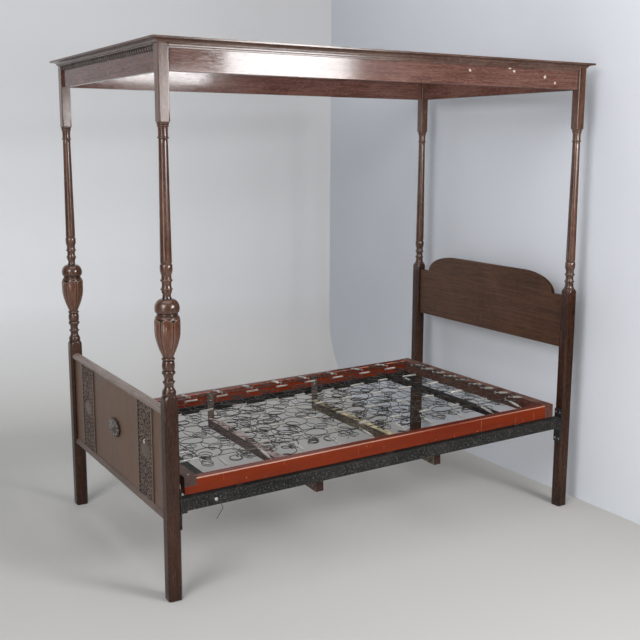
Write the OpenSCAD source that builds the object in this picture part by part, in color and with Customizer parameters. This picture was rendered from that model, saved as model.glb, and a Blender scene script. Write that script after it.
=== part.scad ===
// Carved four-post tester bed with iron side rails and a lift-off sprung base.
// Millimetres. +Z is up, +Y runs from the foot to the head, +X is to the right of
// someone who stands at the foot. The origin is on the floor under the middle.

/* [Bedstead] */
// Distance between post centres across the bed
post_span_w = 1150; // [900:10:1500]
// Distance between post centres along the bed
post_span_l = 1960; // [1750:10:2200]
// Height of the posts up to the underside of the cornice
post_h = 2018; // [1850:1:2200]
// Side of the square legs
leg_s = 54; // [48:1:64]
// Chamfer on the corners of the legs
leg_chamfer = 8; // [3:1:12]
// Height of the square legs of the foot posts
foot_leg_h = 786; // [760:1:860]
// Height of the square legs of the head posts
head_leg_h = 1036; // [1020:1:1150]
// Side of the square blocks at the top of the posts
block_s = 40; // [36:1:50]
// Height of the square blocks at the top of the posts
block_h = 263; // [200:1:300]
// Clearance where a piece of the bedstead seats on another
seat_gap = 0.2; // [0.1:0.1:0.5]

/* [Turnings] */
// Radius of the tapered shafts at the bottom
shaft_r_low = 21; // [18:0.5:23]
// Radius of the tapered shafts at the top
shaft_r_top = 16.5; // [14:0.5:18]
// Radius of the thin rings and collars
ring_r = 22.5; // [21:0.5:25]
// Radius of the necks and coves
neck_r = 17; // [14:0.5:18]
// Radius of the carved cup at its widest
bulb_r = 45; // [38:1:50]
// Height of the carved cup
bulb_h = 150; // [120:1:170]
// Height of the domed cover on the cup
dome_h = 52; // [40:1:60]

/* [Foot and head boards] */
// Thickness of the foot panel and the headboard
board_t = 22; // [16:1:28]
// Thickness of the tenons of the boards
board_tenon_t = 10; // [8:1:14]
// Length of the tenons of the boards
board_tenon_l = 15; // [10:1:20]
// Distance from the top of the foot panel up to the top of the square legs
foot_panel_drop = 74; // [60:1:110]
// Height of the foot panel
foot_panel_h = 404; // [360:1:420]
// Width of the cap on the foot panel
cap_w = 34; // [30:1:44]
// Height of the cap on the foot panel
cap_h = 22; // [16:1:28]
// Height of the moulding along the bottom of the foot panel
foot_mould_h = 24; // [18:1:32]
// How far that moulding stands off the panel
foot_mould_t = 9; // [6:1:14]
// Width of the carved strips
strip_w = 155; // [120:1:170]
// Thickness of the carved strips
strip_t = 6; // [4:1:9]
// Distance from the legs to the carved strips
strip_gap = 118.5; // [40:0.5:160]
// Diameter of the rosette
rosette_d = 96; // [70:1:120]
// Thickness of the petals of the rosette
rosette_t = 10; // [6:1:14]
// Height of the pyramid in the middle of the rosette
pyramid_h = 18; // [10:1:24]
// Distance from the headboard's shoulders up to the top of the square legs
head_board_drop = 32; // [20:1:60]
// Height of the headboard at its shoulders
head_board_h = 242; // [200:1:255]
// Rise of the arched top above the shoulders
arch_rise = 90; // [50:1:120]
// Length of the curve at each side of the arch
arch_run = 205; // [120:5:260]
// Width of each flat shoulder
arch_shoulder = 74; // [50:1:120]

/* [Tester] */
// Thickness of the frieze boards
frieze_t = 20; // [16:1:24]
// Height of the frieze boards
frieze_h = 93; // [78:1:120]
// Thickness of the tenons of the friezes
frieze_tenon_t = 8; // [6:1:9]
// Length of the tenons of the friezes
frieze_tenon_l = 13; // [10:1:14]
// Height of the plain bed mouldings
bed_mould_h = 16; // [12:1:20]
// How far the bed mouldings stand off the friezes
bed_mould_t = 9; // [6:1:10]
// Height of the carved bed moulding at the foot
gadroon_h = 23; // [18:1:28]
// Overhang of the cornice from the post centres
cornice_out = 47.5; // [40:0.5:60]
// Height of the cornice
cornice_h = 20; // [18:1:30]
// Height of the square edge at the top of the cornice
cornice_fillet = 7; // [4:1:9]
// Diameter of the locating pins in the post tops
pin_d = 10; // [8:1:12]
// How far the pins reach into the posts
pin_in = 30; // [20:1:40]
// How far the pins stand out of the posts
pin_out = 12; // [8:1:14]
// Clearance of the lift-off tester from the posts and their pins
tester_gap = 0.3; // [0.3:0.1:0.6]

/* [Side irons] */
// Height of the irons' top face at mid length
iron_z = 411.5; // [380:0.5:440]
// How much higher the head brackets are fixed than the foot brackets
head_rise = 43; // [0:1:50]
// Height of the irons' upright flange
iron_h = 48; // [40:1:52]
// Width of the irons' level flange
iron_w = 45; // [36:1:50]
// Thickness of both flanges
iron_t = 5; // [4:0.5:6]
// How far the irons' outer face is from the outer face of the legs
iron_inset = 10; // [6:1:14]
// Thickness of the bracket plates
plate_t = 5; // [4:0.5:7]
// Width of the bracket plates and their sockets
plate_w = 42; // [38:1:46]
// How far the bracket plates reach above the irons' top
plate_up = 40; // [30:1:60]
// How far the bracket plates reach below the irons' top
plate_down = 116; // [90:1:130]
// Depth of the sockets
socket_d = 22; // [20:1:28]
// Thickness of the hooks' tee heads
hook_t = 6; // [5:0.5:7]
// Width of the hooks' tee heads
hook_w = 24; // [20:1:28]
// Width of the hooks' necks
hook_neck = 10; // [8:1:12]
// Thickness of the end plates and tails of the irons
tail_t = 6; // [5:0.5:8]
// Length of the tails along the irons
tail_l = 128; // [124:1:180]
// Distance of the bolts from the ends of the irons
bolt_in = 111.6; // [100:0.1:114]
// Diameter of the bolts through the irons
bolt_d = 8; // [6:1:10]
// Width of the level flange of the cross irons
cross_w = 40; // [30:1:46]
// Thickness of the cross irons
cross_t = 5; // [4:0.5:6]
// Length of the turned ends of the cross irons
tab_l = 38; // [34:1:44]
// Distance from the bolts to the free edge of the turned ends
tab_edge = 18; // [12:1:20]
// Distance between the bracket screws across the plate
screw_pitch = 24; // [20:1:26]
// Distance of the bracket screws from the ends of the plate
screw_edge = 15; // [10:1:20]
// Clearance round the hooks and the bolts
hook_gap = 0.4; // [0.3:0.1:0.8]

/* [Sprung base] */
// Gap between the legs at the foot and the sprung base
foot_gap = 27; // [10:1:60]
// Gap between the sprung base and the legs at the head
head_gap = 37; // [10:1:60]
// Gap between the upright flanges of the irons and the rails
side_gap = 12; // [8:1:40]
// Height of the timber rails
rail_h = 60; // [50:1:70]
// Width of the timber rails
rail_w = 42; // [36:1:50]
// Rounding of the rails' top edges
rail_round = 8; // [4:1:12]
// Width of the end bars
end_w = 48; // [40:1:56]
// Height of the foot end bar
foot_bar_h = 40; // [32:1:44]
// How far the foot end bar is let into the rails
foot_lap = 30; // [22:1:34]
// Thickness of the packers between the irons and the rails
packer_t = 8; // [5:1:10]
// Length of the packers
packer_l = 30; // [20:1:60]
// Distance between the packers
packer_pitch = 700; // [500:10:740]
// Clearance between the packers and the irons
rest_gap = 0.3; // [0.2:0.1:0.6]
// Place of the foot lath, as a share of the base's length
foot_lath_share = 0.328; // [0.25:0.001:0.36]
// Place of the head lath, as a share of the base's length
head_lath_share = 0.6535; // [0.64:0.0005:0.75]
// Width of the laths
lath_w = 38; // [30:1:50]
// Height of the laths
lath_h = 44; // [30:1:50]
// Drop from the rails' underside to the top of the laths
lath_drop = 76; // [50:1:90]
// Thickness of the hanger straps
strap_t = 3; // [2:0.5:4]
// Width of the hanger straps
strap_w = 34; // [26:1:36]
// Length of the turned foot of the straps
strap_foot = 50; // [40:1:60]

/* [Net and springs] */
// Rings of the net across the bed
net_nx = 5; // [3:1:5]
// Rings of the net along the bed
net_ny = 10; // [6:1:10]
// Gap between the net and the rails
net_side_gap = 101; // [98:1:120]
// Gap between the net and the end bars, as the mean of both ends
net_end_gap = 77; // [76:1:100]
// Diameter of the rings, to the middle of their wire
net_ring_d = 109; // [80:1:115]
// Thickness of the net's wire
net_wire = 3; // [2.5:0.5:4]
// Thickness of the net's border wire
border_wire = 5; // [4:0.5:6]
// Height of the net above the tops of the rails
net_rise = 17; // [8:1:24]
// Wire thickness of the cone springs
coil_wire = 3.8; // [3:0.2:4.4]
// Radius of the cone springs at the top
coil_r_top = 54; // [34:1:60]
// Radius of the cone springs at the bottom
coil_r_low = 18; // [16:1:18]
// Turns of each cone spring
coil_turns = 5.5; // [3.5:1:6.5]
// Cone springs on each lath
coil_count = 4; // [2:2:4]
// Radius of the bodies of the edge springs
barrel_r = 5.5; // [4:0.5:6]
// Wire thickness of the edge springs
hook_wire = 2.8; // [2:0.2:3.2]
// Length of the bodies of the side springs
side_barrel_l = 62; // [40:1:66]
// Length of the bodies of the end springs
end_barrel_l = 44; // [30:1:48]
// Distance of the edge springs' pins from the inner edges of the timbers
pin_inset = 8; // [8:1:12]
// Rings of the net from one side spring to the next
side_step = 1; // [0.5:0.5:1]
// Rings of the net from one end spring to the next
end_step = 0.5; // [0.5:0.5:1]

/* [Screws] */
// Diameter of the screws' shanks
screw_d = 5; // [4:0.5:6]
// Diameter of the screws' heads
screw_head_d = 10; // [8:0.5:11]
// Height of the screws' heads
screw_head_h = 3; // [2:0.5:4]
// Length of the bracket screws
bracket_screw_l = 25; // [18:1:26]
// Length of the strap screws
strap_screw_l = 22; // [15:1:30]
// Length of the screws through the frame corners
frame_screw_l = 62; // [50:1:70]
// Clearance round the shanks
screw_gap = 0.15; // [0.1:0.05:0.3]

/* [Hidden] */
$fn = 48;
cut = 1;                                    // overshoot of every cut

half_w = post_span_w / 2;
half_l = post_span_l / 2;
inner_w = half_w - leg_s / 2;               // inner faces of the legs
inner_l = half_l - leg_s / 2;
block_z = post_h - block_h;                 // undersides of the top blocks
frieze_z = post_h - frieze_h;               // and of the friezes
foot_panel_z = foot_leg_h - foot_panel_drop - foot_panel_h;
head_board_z = head_leg_h - head_board_drop - head_board_h;
strip_x = inner_w - strip_gap - strip_w / 2; // middles of the carved strips

oak = [0.21, 0.12, 0.09];
oak_worn = [0.33, 0.24, 0.20];
red_paint = [0.53, 0.17, 0.09];
iron_black = [0.13, 0.13, 0.13];
rusty = [0.30, 0.22, 0.18];
zinc = [0.62, 0.62, 0.60];
wire_black = [0.16, 0.16, 0.17];

// ---------------------------------------------------------------- posts

// Points of a round bead, h high, that swells from r0 to r1
function bead(z, h, r0, r1) =
  [for (a = [-90:22.5:90]) [r0 + (r1 - r0) * cos(a), z + h * (1 + sin(a)) / 2]];
// Points of a hollow, h high, between radii ra and rb, drawn in to rc
function cove(z, h, ra, rb, rc) =
  [for (t = [0:0.125:1])
    [ra + (rb - ra) * t - ((ra + rb) / 2 - rc) * sin(180 * t), z + h * t]];
// Points of the cup: narrow below, widest near its top
function cup(z, h, r0, r1) =
  [for (t = [0:0.1:1])
    [r0 + (r1 - r0) * sin(min(90, 132 * t)) - 5 * pow(max(0, t - 0.7) / 0.3, 2), z + h * t]];

// Two thin rings with hollows between them and a collar, then the tapered shaft,
// with a small ring, a hollow and a bead under the block
function rings_and_shaft(z) = concat(
  [[neck_r + 1.5, z]],
  bead(z + 8, 7, neck_r + 1.5, ring_r),
  cove(z + 16, 23, neck_r + 2, neck_r + 2, neck_r),
  bead(z + 40, 7, neck_r + 2, ring_r),
  cove(z + 48, 23, neck_r + 2, ring_r - 1.5, neck_r + 1),
  bead(z + 72, 28, ring_r - 1.5, ring_r),
  [[shaft_r_low - 1.5, z + 101], [shaft_r_low - 1.5, z + 104],
   [shaft_r_low, z + 106], [shaft_r_top, block_z - 58]],
  bead(block_z - 57, 8, shaft_r_top, shaft_r_top + 2.5),
  cove(block_z - 48, 30, shaft_r_top + 2, shaft_r_top + 3, shaft_r_top - 1.5),
  bead(block_z - 18, 18, shaft_r_top + 3, block_s / 2 + 2)
);
// From the square leg of a foot post up to the underside of the cup
base_turning_h = 142;
function base_turning(z) = concat(
  bead(z, 22, ring_r, leg_s / 2 - 1.5),
  cove(z + 22, 26, ring_r, neck_r + 3, neck_r),
  bead(z + 48, 8, neck_r + 2, ring_r + 0.5),
  cove(z + 56, 24, neck_r + 1, neck_r + 4, neck_r),
  bead(z + 80, 13, neck_r + 4, leg_s / 2 - 2),
  bead(z + 94, 36, neck_r + 2.5, ring_r + 1),
  bead(z + 132, 10, neck_r + 2.5, ring_r + 2)
);
// Ring, groove and domed cover of the cup, then its neck
function cover(z) = concat(
  bead(z, 8, bulb_r - 9, bulb_r - 6),
  [[bulb_r - 8, z + 10], [bulb_r - 2.5, z + 12]],
  [for (a = [0:11.25:90])
    [neck_r + (bulb_r - neck_r) * cos(a), z + 24 + (dome_h - 24) * sin(a)]],
  cove(z + dome_h, 22, neck_r + 0.5, neck_r, neck_r - 2)
);
cover_h = dome_h + 22;
// All that is turned on a foot post and on a head post
cup_z = foot_leg_h + base_turning_h;
cover_z = cup_z + bulb_h;
foot_turning = concat(
  base_turning(foot_leg_h), cup(cup_z, bulb_h, neck_r + 1.5, bulb_r), cover(cover_z),
  rings_and_shaft(cover_z + cover_h)
);
head_turning = concat(
  cove(head_leg_h, 24, leg_s / 2 - 2, neck_r + 2, neck_r + 3),
  rings_and_shaft(head_leg_h + 24)
);

// Square prism with chamfered corners
module square_leg(s, c, z0, z1) {
  h = s / 2;
  translate([0, 0, z0])
    linear_extrude(z1 - z0)
      polygon([
        [-h + c, -h], [h - c, -h], [h, -h + c], [h, h - c],
        [h - c, h], [-h + c, h], [-h, h - c], [-h, -h + c]
      ]);
}
// Leg whose corners are turned away at the top in a round shoulder
module leg(z1)
  intersection() {
    square_leg(leg_s, leg_chamfer, 0, z1);
    rotate_extrude($fn = 64)
      polygon([[0, -cut], [leg_s, -cut], [leg_s, z1 - leg_s * 0.6], [leg_s * 0.62, z1 - 12],
               [leg_s * 0.53, z1 - 3], [leg_s * 0.5, z1 + cut], [0, z1 + cut]]);
  }
// Slots and holes that the boards, friezes, pins and bracket screws need.
// sx and sy say at which corner the post stands.
module post_cuts(sx, sy, board_z, board_h, plate_z) {
  tenon_slot = board_tenon_l + seat_gap + cut;
  translate([-sx * (leg_s / 2 - board_tenon_l - seat_gap + tenon_slot / 2), 0,
             board_z + board_h / 2])
    cube([tenon_slot, board_tenon_t + 2 * seat_gap, board_h + 2 * seat_gap], center = true);
  for (turn = [sx > 0 ? 180 : 0, -sy * 90])
    rotate(turn)
      translate([block_s / 2 - frieze_tenon_l - tester_gap, -frieze_tenon_t / 2 - tester_gap,
                 frieze_z + frieze_tenon_drop - tester_gap])
        cube([frieze_tenon_l + tester_gap + cut, frieze_tenon_t + 2 * tester_gap,
              post_h - frieze_z]);
  translate([0, 0, post_h - pin_in - seat_gap])
    cylinder(h = pin_in + 2 * cut, r = pin_d / 2 + seat_gap);
  screw_depth = bracket_screw_l - plate_t + seat_gap + cut;
  for (s = bracket_screw_places)
    translate([s[0], -sy * (leg_s / 2 + cut), plate_z + s[1]])
      rotate([sy * 90, 0, 0])
        translate([0, 0, -screw_depth])
          cylinder(h = screw_depth, r = screw_d / 2 + screw_gap);
}
frieze_tenon_drop = 8;                      // the friezes' tenons begin this far up
bracket_screw_places = [for (x = [-0.5, 0.5] * screw_pitch,
                             z = [plate_up - screw_edge, screw_edge - plate_down]) [x, z]];

overlap = 3;                                // the turned part runs into leg and block
// One post: the leg, what is turned above it, and the block that takes the friezes
module post(sx, sy, leg_h, turning, board_z, board_h)
  color(oak)
    translate([sx * half_w, sy * half_l, 0])
      difference() {
        union() {
          leg(leg_h);
          rotate_extrude($fn = 64)
            polygon(concat(
              [[0, leg_h - overlap], [neck_r, leg_h - overlap], [neck_r, leg_h]], turning,
              [[shaft_r_top - 2, block_z], [shaft_r_top - 2, block_z + overlap],
               [0, block_z + overlap]]
            ));
          square_leg(block_s, 1.5, block_z, post_h);
        }
        post_cuts(sx, sy, board_z, board_h, iron_end_z(sy));
      }
module foot_post(sx) post(sx, -1, foot_leg_h, foot_turning, foot_panel_z, foot_panel_h);
module head_post(sx) post(sx, 1, head_leg_h, head_turning, head_board_z, head_board_h);
module foot_post_left() foot_post(-1);
module foot_post_right() foot_post(1);
module head_post_left() head_post(-1);
module head_post_right() head_post(1);

// ---------------------------------------------------------------- foot and head boards

board_half = inner_w - seat_gap;            // boards reach the legs less a clearance
strip_z0 = foot_panel_z + foot_mould_h;
strip_z1 = foot_panel_z + foot_panel_h;
panel_face = -half_l - board_t / 2;         // front face of the foot panel

module board_tenons(z0, h)
  for (sx = [-1, 1])
    translate([sx * (board_half - 5 + (board_tenon_l + 5) / 2), 0, z0 + h / 2])
      cube([board_tenon_l + 5, board_tenon_t, h], center = true);

module foot_panel()
  color(oak)
    translate([0, -half_l, 0]) {
      translate([-board_half, -board_t / 2, foot_panel_z])
        cube([2 * board_half, board_t, foot_panel_h]);
      board_tenons(foot_panel_z, foot_panel_h);
    }

// Rounded cap that lies along the top edge of the panel
module foot_cap()
  color(oak_worn)
    translate([-board_half, -half_l - 5, foot_panel_z + foot_panel_h + seat_gap])
      rotate([90, 0, 90])
        linear_extrude(2 * board_half)
          polygon([
            [-cap_w / 2, 0], [cap_w / 2, 0], [cap_w / 2, cap_h - 8],
            [cap_w / 2 - 3, cap_h - 2], [cap_w / 2 - 9, cap_h],
            [-cap_w / 2 + 12, cap_h - 2], [-cap_w / 2 + 4, cap_h - 7],
            [-cap_w / 2, cap_h - 13]
          ]);

// Stepped moulding planted on the bottom of the panel
module foot_moulding()
  color(oak_worn)
    translate([-board_half, panel_face - seat_gap, foot_panel_z])
      rotate([90, 0, 90])
        linear_extrude(2 * board_half)
          polygon([
            [0, 0], [-foot_mould_t, 0], [-foot_mould_t, foot_mould_h * 0.36],
            [-foot_mould_t * 0.8, foot_mould_h * 0.4],
            [-foot_mould_t * 0.8, foot_mould_h * 0.62],
            [-foot_mould_t * 0.45, foot_mould_h * 0.68],
            [-foot_mould_t * 0.45, foot_mould_h * 0.86],
            [-foot_mould_t * 0.2, foot_mould_h], [0, foot_mould_h]
          ]);

// Carved strip: a flat ground, raised edges and a plain oval boss in the middle
module foot_carving(sx) {
  h = strip_z1 - strip_z0 - 2 * seat_gap;
  border = 6;
  ground = strip_t * 0.55;
  boss_r = 70;                              // two such arcs cross to make the oval
  boss_off = boss_r - strip_w * 0.16;
  color(oak)
    translate([sx * strip_x, panel_face - seat_gap, strip_z0 + seat_gap + h / 2])
      rotate([90, 0, 0])
        union() {
          translate([-strip_w / 2, -h / 2, 0])
            cube([strip_w, h, ground]);
          for (s = [-1, 1])
            translate([s * (strip_w - border) / 2 - border / 2, -h / 2, 0])
              cube([border, h, strip_t]);
          intersection() {
            translate([-boss_off, 0, 0]) cylinder(h = strip_t, r = boss_r);
            translate([boss_off, 0, 0]) cylinder(h = strip_t, r = boss_r);
          }
        }
}
module foot_carving_left() foot_carving(-1);
module foot_carving_right() foot_carving(1);

// Eight-petalled rosette round a faceted point
module rosette() {
  petal_r = rosette_d * 0.19;
  color(oak)
    translate([0, panel_face - seat_gap, (strip_z0 + strip_z1) / 2])
      rotate([90, 0, 0]) {
        cylinder(h = rosette_t * 0.6, d = rosette_d * 0.86);
        for (k = [0:7])
          rotate(k * 45 + 22.5)
            translate([rosette_d / 2 - petal_r, 0, 0])
              cylinder(h = rosette_t, r = petal_r);
        translate([0, 0, rosette_t * 0.5])
          rotate(45)
            cylinder(h = pyramid_h + rosette_t * 0.5, r1 = rosette_d * 0.3, r2 = 1, $fn = 4);
      }
}

// Arched headboard: flat shoulders, an elliptic rise at each side, a level middle
function arch_half(sx) =
  [for (a = [0:7.5:90])
    [sx * (board_half - arch_shoulder - arch_run * (1 - cos(a))),
     head_board_h + arch_rise * sin(a)]];
module headboard()
  color(oak)
    translate([0, half_l, head_board_z])
      rotate([90, 0, 0]) {
        translate([0, 0, -board_t / 2])
          linear_extrude(board_t)
            polygon(concat(
              [[-board_half, 0], [board_half, 0], [board_half, head_board_h]],
              arch_half(1),
              [for (k = [12:-1:0]) arch_half(-1)[k]],
              [[-board_half, head_board_h]]
            ));
        rotate([-90, 0, 0])
          board_tenons(0, head_board_h);
      }

// ---------------------------------------------------------------- tester

block_gap_w = half_w - block_s / 2 - tester_gap;  // friezes reach the top blocks
block_gap_l = half_l - block_s / 2 - tester_gap;

// Frieze board along X, with its tenons, centred on the post line
module frieze(half)
  color(oak) {
    translate([-half, -frieze_t / 2, frieze_z])
      cube([2 * half, frieze_t, frieze_h]);
    for (sx = [-1, 1])
      translate([sx * (half - 5 + (frieze_tenon_l + 5 - tester_gap) / 2), 0,
                 frieze_z + (frieze_h + frieze_tenon_drop) / 2])
        cube([frieze_tenon_l + 5 - tester_gap, frieze_tenon_t, frieze_h - frieze_tenon_drop],
             center = true);
  }
module frieze_foot() translate([0, -half_l, 0]) frieze(block_gap_w);
module frieze_head() translate([0, half_l, 0]) frieze(block_gap_w);
module frieze_left() translate([-half_w, 0, 0]) rotate(90) frieze(block_gap_l);
module frieze_right() translate([half_w, 0, 0]) rotate(90) frieze(block_gap_l);

// Two-step moulding planted on the top of a frieze, its back on y = 0, face to -Y
module bed_moulding(half, h)
  color(oak)
    translate([-half, 0, post_h - h])
      rotate([90, 0, 90])
        linear_extrude(2 * half)
          polygon([
            [0, 0], [-bed_mould_t * 0.5, 0], [-bed_mould_t * 0.55, h * 0.35],
            [-bed_mould_t * 0.8, h * 0.42], [-bed_mould_t * 0.85, h * 0.8],
            [-bed_mould_t, h * 0.86], [-bed_mould_t, h], [0, h]
          ]);
mould_back = frieze_t / 2 + seat_gap;
module bed_moulding_head()
  translate([0, half_l + mould_back, 0]) rotate(180) bed_moulding(block_gap_w, bed_mould_h);
module bed_moulding_left()
  translate([-half_w - mould_back, 0, 0]) rotate(-90) bed_moulding(block_gap_l, bed_mould_h);
module bed_moulding_right()
  translate([half_w + mould_back, 0, 0]) rotate(90) bed_moulding(block_gap_l, bed_mould_h);
module gadroon_strip()
  translate([0, -half_l - mould_back, 0]) bed_moulding(block_gap_w, gadroon_h);

// Cornice length along X at distance d out from the middle, mitred at 45 degrees
cornice_in = block_s / 2 + 2;               // the cornice reaches this far inwards
cornice_foot_u = block_s / 2 + 4;           // foot of the hollow under the overhang
cornice_seat = post_h + tester_gap;
hollow_h = cornice_h - cornice_fillet;
module cornice(half, d)
  color(oak)
    difference() {
      translate([-half - cornice_out, -d, cornice_seat])
        rotate([90, 0, 90])
          linear_extrude(2 * (half + cornice_out))
            polygon(concat(
              [[cornice_in, 0], [-cornice_foot_u, 0]],
              [for (a = [0:15:90])
                [-cornice_foot_u - (cornice_out - 4 - cornice_foot_u) * (1 - cos(a)),
                 2 + (hollow_h - 3) * sin(a)]],
              [[-cornice_out, hollow_h], [-cornice_out, cornice_h], [cornice_in, cornice_h]]
            ));
      for (sx = [-1, 1])
        translate([sx * half, -d, 0]) {
          translate([0, 0, cornice_seat - cut])
            linear_extrude(cornice_h + 2 * cut)
              polygon([
                [-sx * (cornice_in + 40), cornice_in + 40],
                [sx * (cornice_out + 40), cornice_in + 40],
                [sx * (cornice_out + 40), -cornice_out - 40]
              ]);
          translate([0, 0, cornice_seat - cut])
            cylinder(h = pin_out + 2 + cut, r = pin_d / 2 + tester_gap);
        }
    }
module cornice_foot() cornice(half_w, half_l);
module cornice_head() rotate(180) cornice(half_w, half_l);
module cornice_left() rotate(-90) cornice(half_l, half_w);
module cornice_right() rotate(90) cornice(half_l, half_w);

module post_pins()
  color(zinc)
    for (sx = [-1, 1], sy = [-1, 1])
      translate([sx * half_w, sy * half_l, post_h - pin_in])
        cylinder(h = pin_in + pin_out, d = pin_d);

// ---------------------------------------------------------------- irons and brackets

plate_face = inner_l - plate_t;             // free face of a bracket plate
socket_face = plate_face - socket_d;        // free face of a socket
end_face = socket_face - hook_gap;          // the irons' end plates reach this far
iron_cut = end_face - tail_t;               // the irons stop at their end plates
bolt_y = iron_cut - bolt_in;
slope = atan(head_rise / (2 * socket_face));
function iron_end_z(sy) = iron_z + sy * head_rise / 2;
iron_x = half_w + leg_s / 2 - iron_inset;   // outer face of the upright flanges
socket_floor = 10;
socket_h = iron_h + 6;

// Everything that lies on the irons follows their slope. z = 0 is their top face.
module on_slope()
  translate([0, 0, iron_z])
    rotate([slope, 0, 0])
      children();

// Bracket screwed to the inner face of a leg, with a socket that is open at the top.
// It is drawn for the foot, with y = 0 on the face of the leg.
module bracket()
  color(iron_black)
    difference() {
      union() {
        translate([-plate_w / 2, 0, -plate_down])
          cube([plate_w, plate_t, plate_up + plate_down]);
        translate([-plate_w / 2, plate_t - 1, -socket_h])
          cube([plate_w, socket_d + 1, socket_h]);
      }
      translate([-hook_w / 2 - hook_gap, plate_t + socket_d - hook_neck_l - hook_t - 2 * hook_gap,
                 socket_floor - socket_h])
        cube([hook_w + 2 * hook_gap, hook_t + 2 * hook_gap, socket_h]);
      translate([-hook_neck / 2 - hook_gap, plate_t + socket_d - hook_neck_l - hook_gap - cut,
                 socket_floor - socket_h])
        cube([hook_neck + 2 * hook_gap, hook_neck_l + hook_gap + 2 * cut, socket_h]);
      for (s = bracket_screw_places)
        translate([s[0], 0, s[1]])
          rotate([-90, 0, 0]) {
            translate([0, 0, -cut])
              cylinder(h = plate_t + 2 * cut, r = screw_d / 2 + screw_gap);
            translate([0, 0, plate_t - screw_head_h - screw_gap])
              cylinder(h = screw_head_h + screw_gap + cut, r = screw_head_d / 2 + screw_gap);
          }
    }
hook_neck_l = 11;                           // from the end plate to the tee head

// Places a foot-end piece at one corner: sx -1 left, 1 right; sy -1 foot, 1 head
module at_corner(sx, sy)
  translate([sx * half_w, sy * inner_l, iron_end_z(sy)])
    mirror([0, sy > 0 ? 1 : 0, 0])
      children();
module bracket_foot_left() at_corner(-1, -1) bracket();
module bracket_foot_right() at_corner(1, -1) bracket();
module bracket_head_left() at_corner(-1, 1) bracket();
module bracket_head_right() at_corner(1, 1) bracket();

// Screw with its head's top on z = 0 and its shank along -Z
module screw(l) {
  translate([0, 0, -screw_head_h])
    cylinder(h = screw_head_h, d = screw_head_d);
  translate([0, 0, -l])
    cylinder(h = l - screw_head_h / 2, d = screw_d);
}
module bracket_screws()
  color(zinc)
    for (sx = [-1, 1], sy = [-1, 1], s = bracket_screw_places)
      at_corner(sx, sy)
        translate([s[0], plate_t, s[1]])
          rotate([-90, 0, 0])
            screw(bracket_screw_l);

// Angle iron: an upright flange outside, a level flange on top that points inwards
module side_iron(sx)
  color(iron_black)
    difference() {
      intersection() {
        on_slope()
          mirror([sx < 0 ? 1 : 0, 0, 0]) {
            translate([iron_x - iron_t, -half_l, -iron_h])
              cube([iron_t, post_span_l, iron_h]);
            translate([iron_x - iron_w, -half_l, -iron_t])
              cube([iron_w, post_span_l, iron_t]);
          }
        translate([0, 0, iron_z])
          cube([2 * iron_x + iron_w, 2 * iron_cut - 2 * seat_gap, 4 * iron_h], center = true);
      }
      bolt_holes(sx);
    }
module side_iron_left() side_iron(-1);
module side_iron_right() side_iron(1);

bolt_z = -iron_t - (iron_h - iron_t) / 2;   // the bolts' height in the upright flange
module bolt_holes(sx)
  on_slope()
    for (sy = [-1, 1])
      translate([sx * (iron_x - 30), sy * bolt_y, bolt_z])
        rotate([0, sx * 90, 0])
          cylinder(h = 40, r = bolt_d / 2 + hook_gap);

tail_h = iron_h - iron_t - 4;
// End plate with its tee hook, and a tail along the inside of the upright flange
module iron_hook(sx, sy) {
  out_w = iron_x - half_w;                  // from the socket's middle to the outer face
  difference() {
    union() {
      at_corner(sx, sy)
        mirror([sx < 0 ? 1 : 0, 0, 0])
          translate([0, inner_l - end_face, 0]) {
            translate([-plate_w / 2, 0, -iron_h])
              cube([plate_w / 2 + out_w, tail_t, iron_h]);
            translate([-hook_neck / 2, -hook_neck_l - hook_gap, hook_z0])
              cube([hook_neck, hook_neck_l + hook_gap + 1, -hook_z0]);
            translate([-hook_w / 2, -hook_neck_l - hook_gap - hook_t, hook_z0])
              cube([hook_w, hook_t, -hook_z0]);
          }
      on_slope()
        mirror([sx < 0 ? 1 : 0, 0, 0])
          mirror([0, sy > 0 ? 1 : 0, 0])
            translate([iron_x - iron_t - seat_gap - tail_t, -iron_cut - tail_t / 2,
                       -iron_t - seat_gap - tail_h])
              cube([tail_t, tail_l, tail_h]);
    }
    bolt_holes(sx);
  }
}
hook_z0 = socket_floor - socket_h + rest_gap;
module iron_hooks()
  color(iron_black)
    for (sx = [-1, 1], sy = [-1, 1])
      iron_hook(sx, sy);

// Angle bar across the bed, its ends turned against the tails of the hooks
module cross_iron(sy) {
  tab_x = iron_x - iron_t - tail_t - 2 * seat_gap;
  top = -iron_t - seat_gap;
  color(iron_black)
    difference() {
      on_slope()
        mirror([0, sy > 0 ? 1 : 0, 0])
          translate([0, -bolt_y, 0]) {
            translate([-tab_x, tab_l - tab_edge - cross_t, top - tail_h])
              cube([2 * tab_x, cross_t, tail_h]);
            translate([-tab_x, tab_l - tab_edge - cross_t, top - cross_t])
              cube([2 * tab_x, cross_w, cross_t]);
            for (s = [-1, 1])
              translate([s * (tab_x - cross_t / 2) - cross_t / 2, -tab_edge, top - tail_h])
                cube([cross_t, tab_l, tail_h]);
          }
      bolt_holes(1);
      bolt_holes(-1);
    }
}
module cross_iron_foot() cross_iron(-1);
module cross_iron_head() cross_iron(1);

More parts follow.
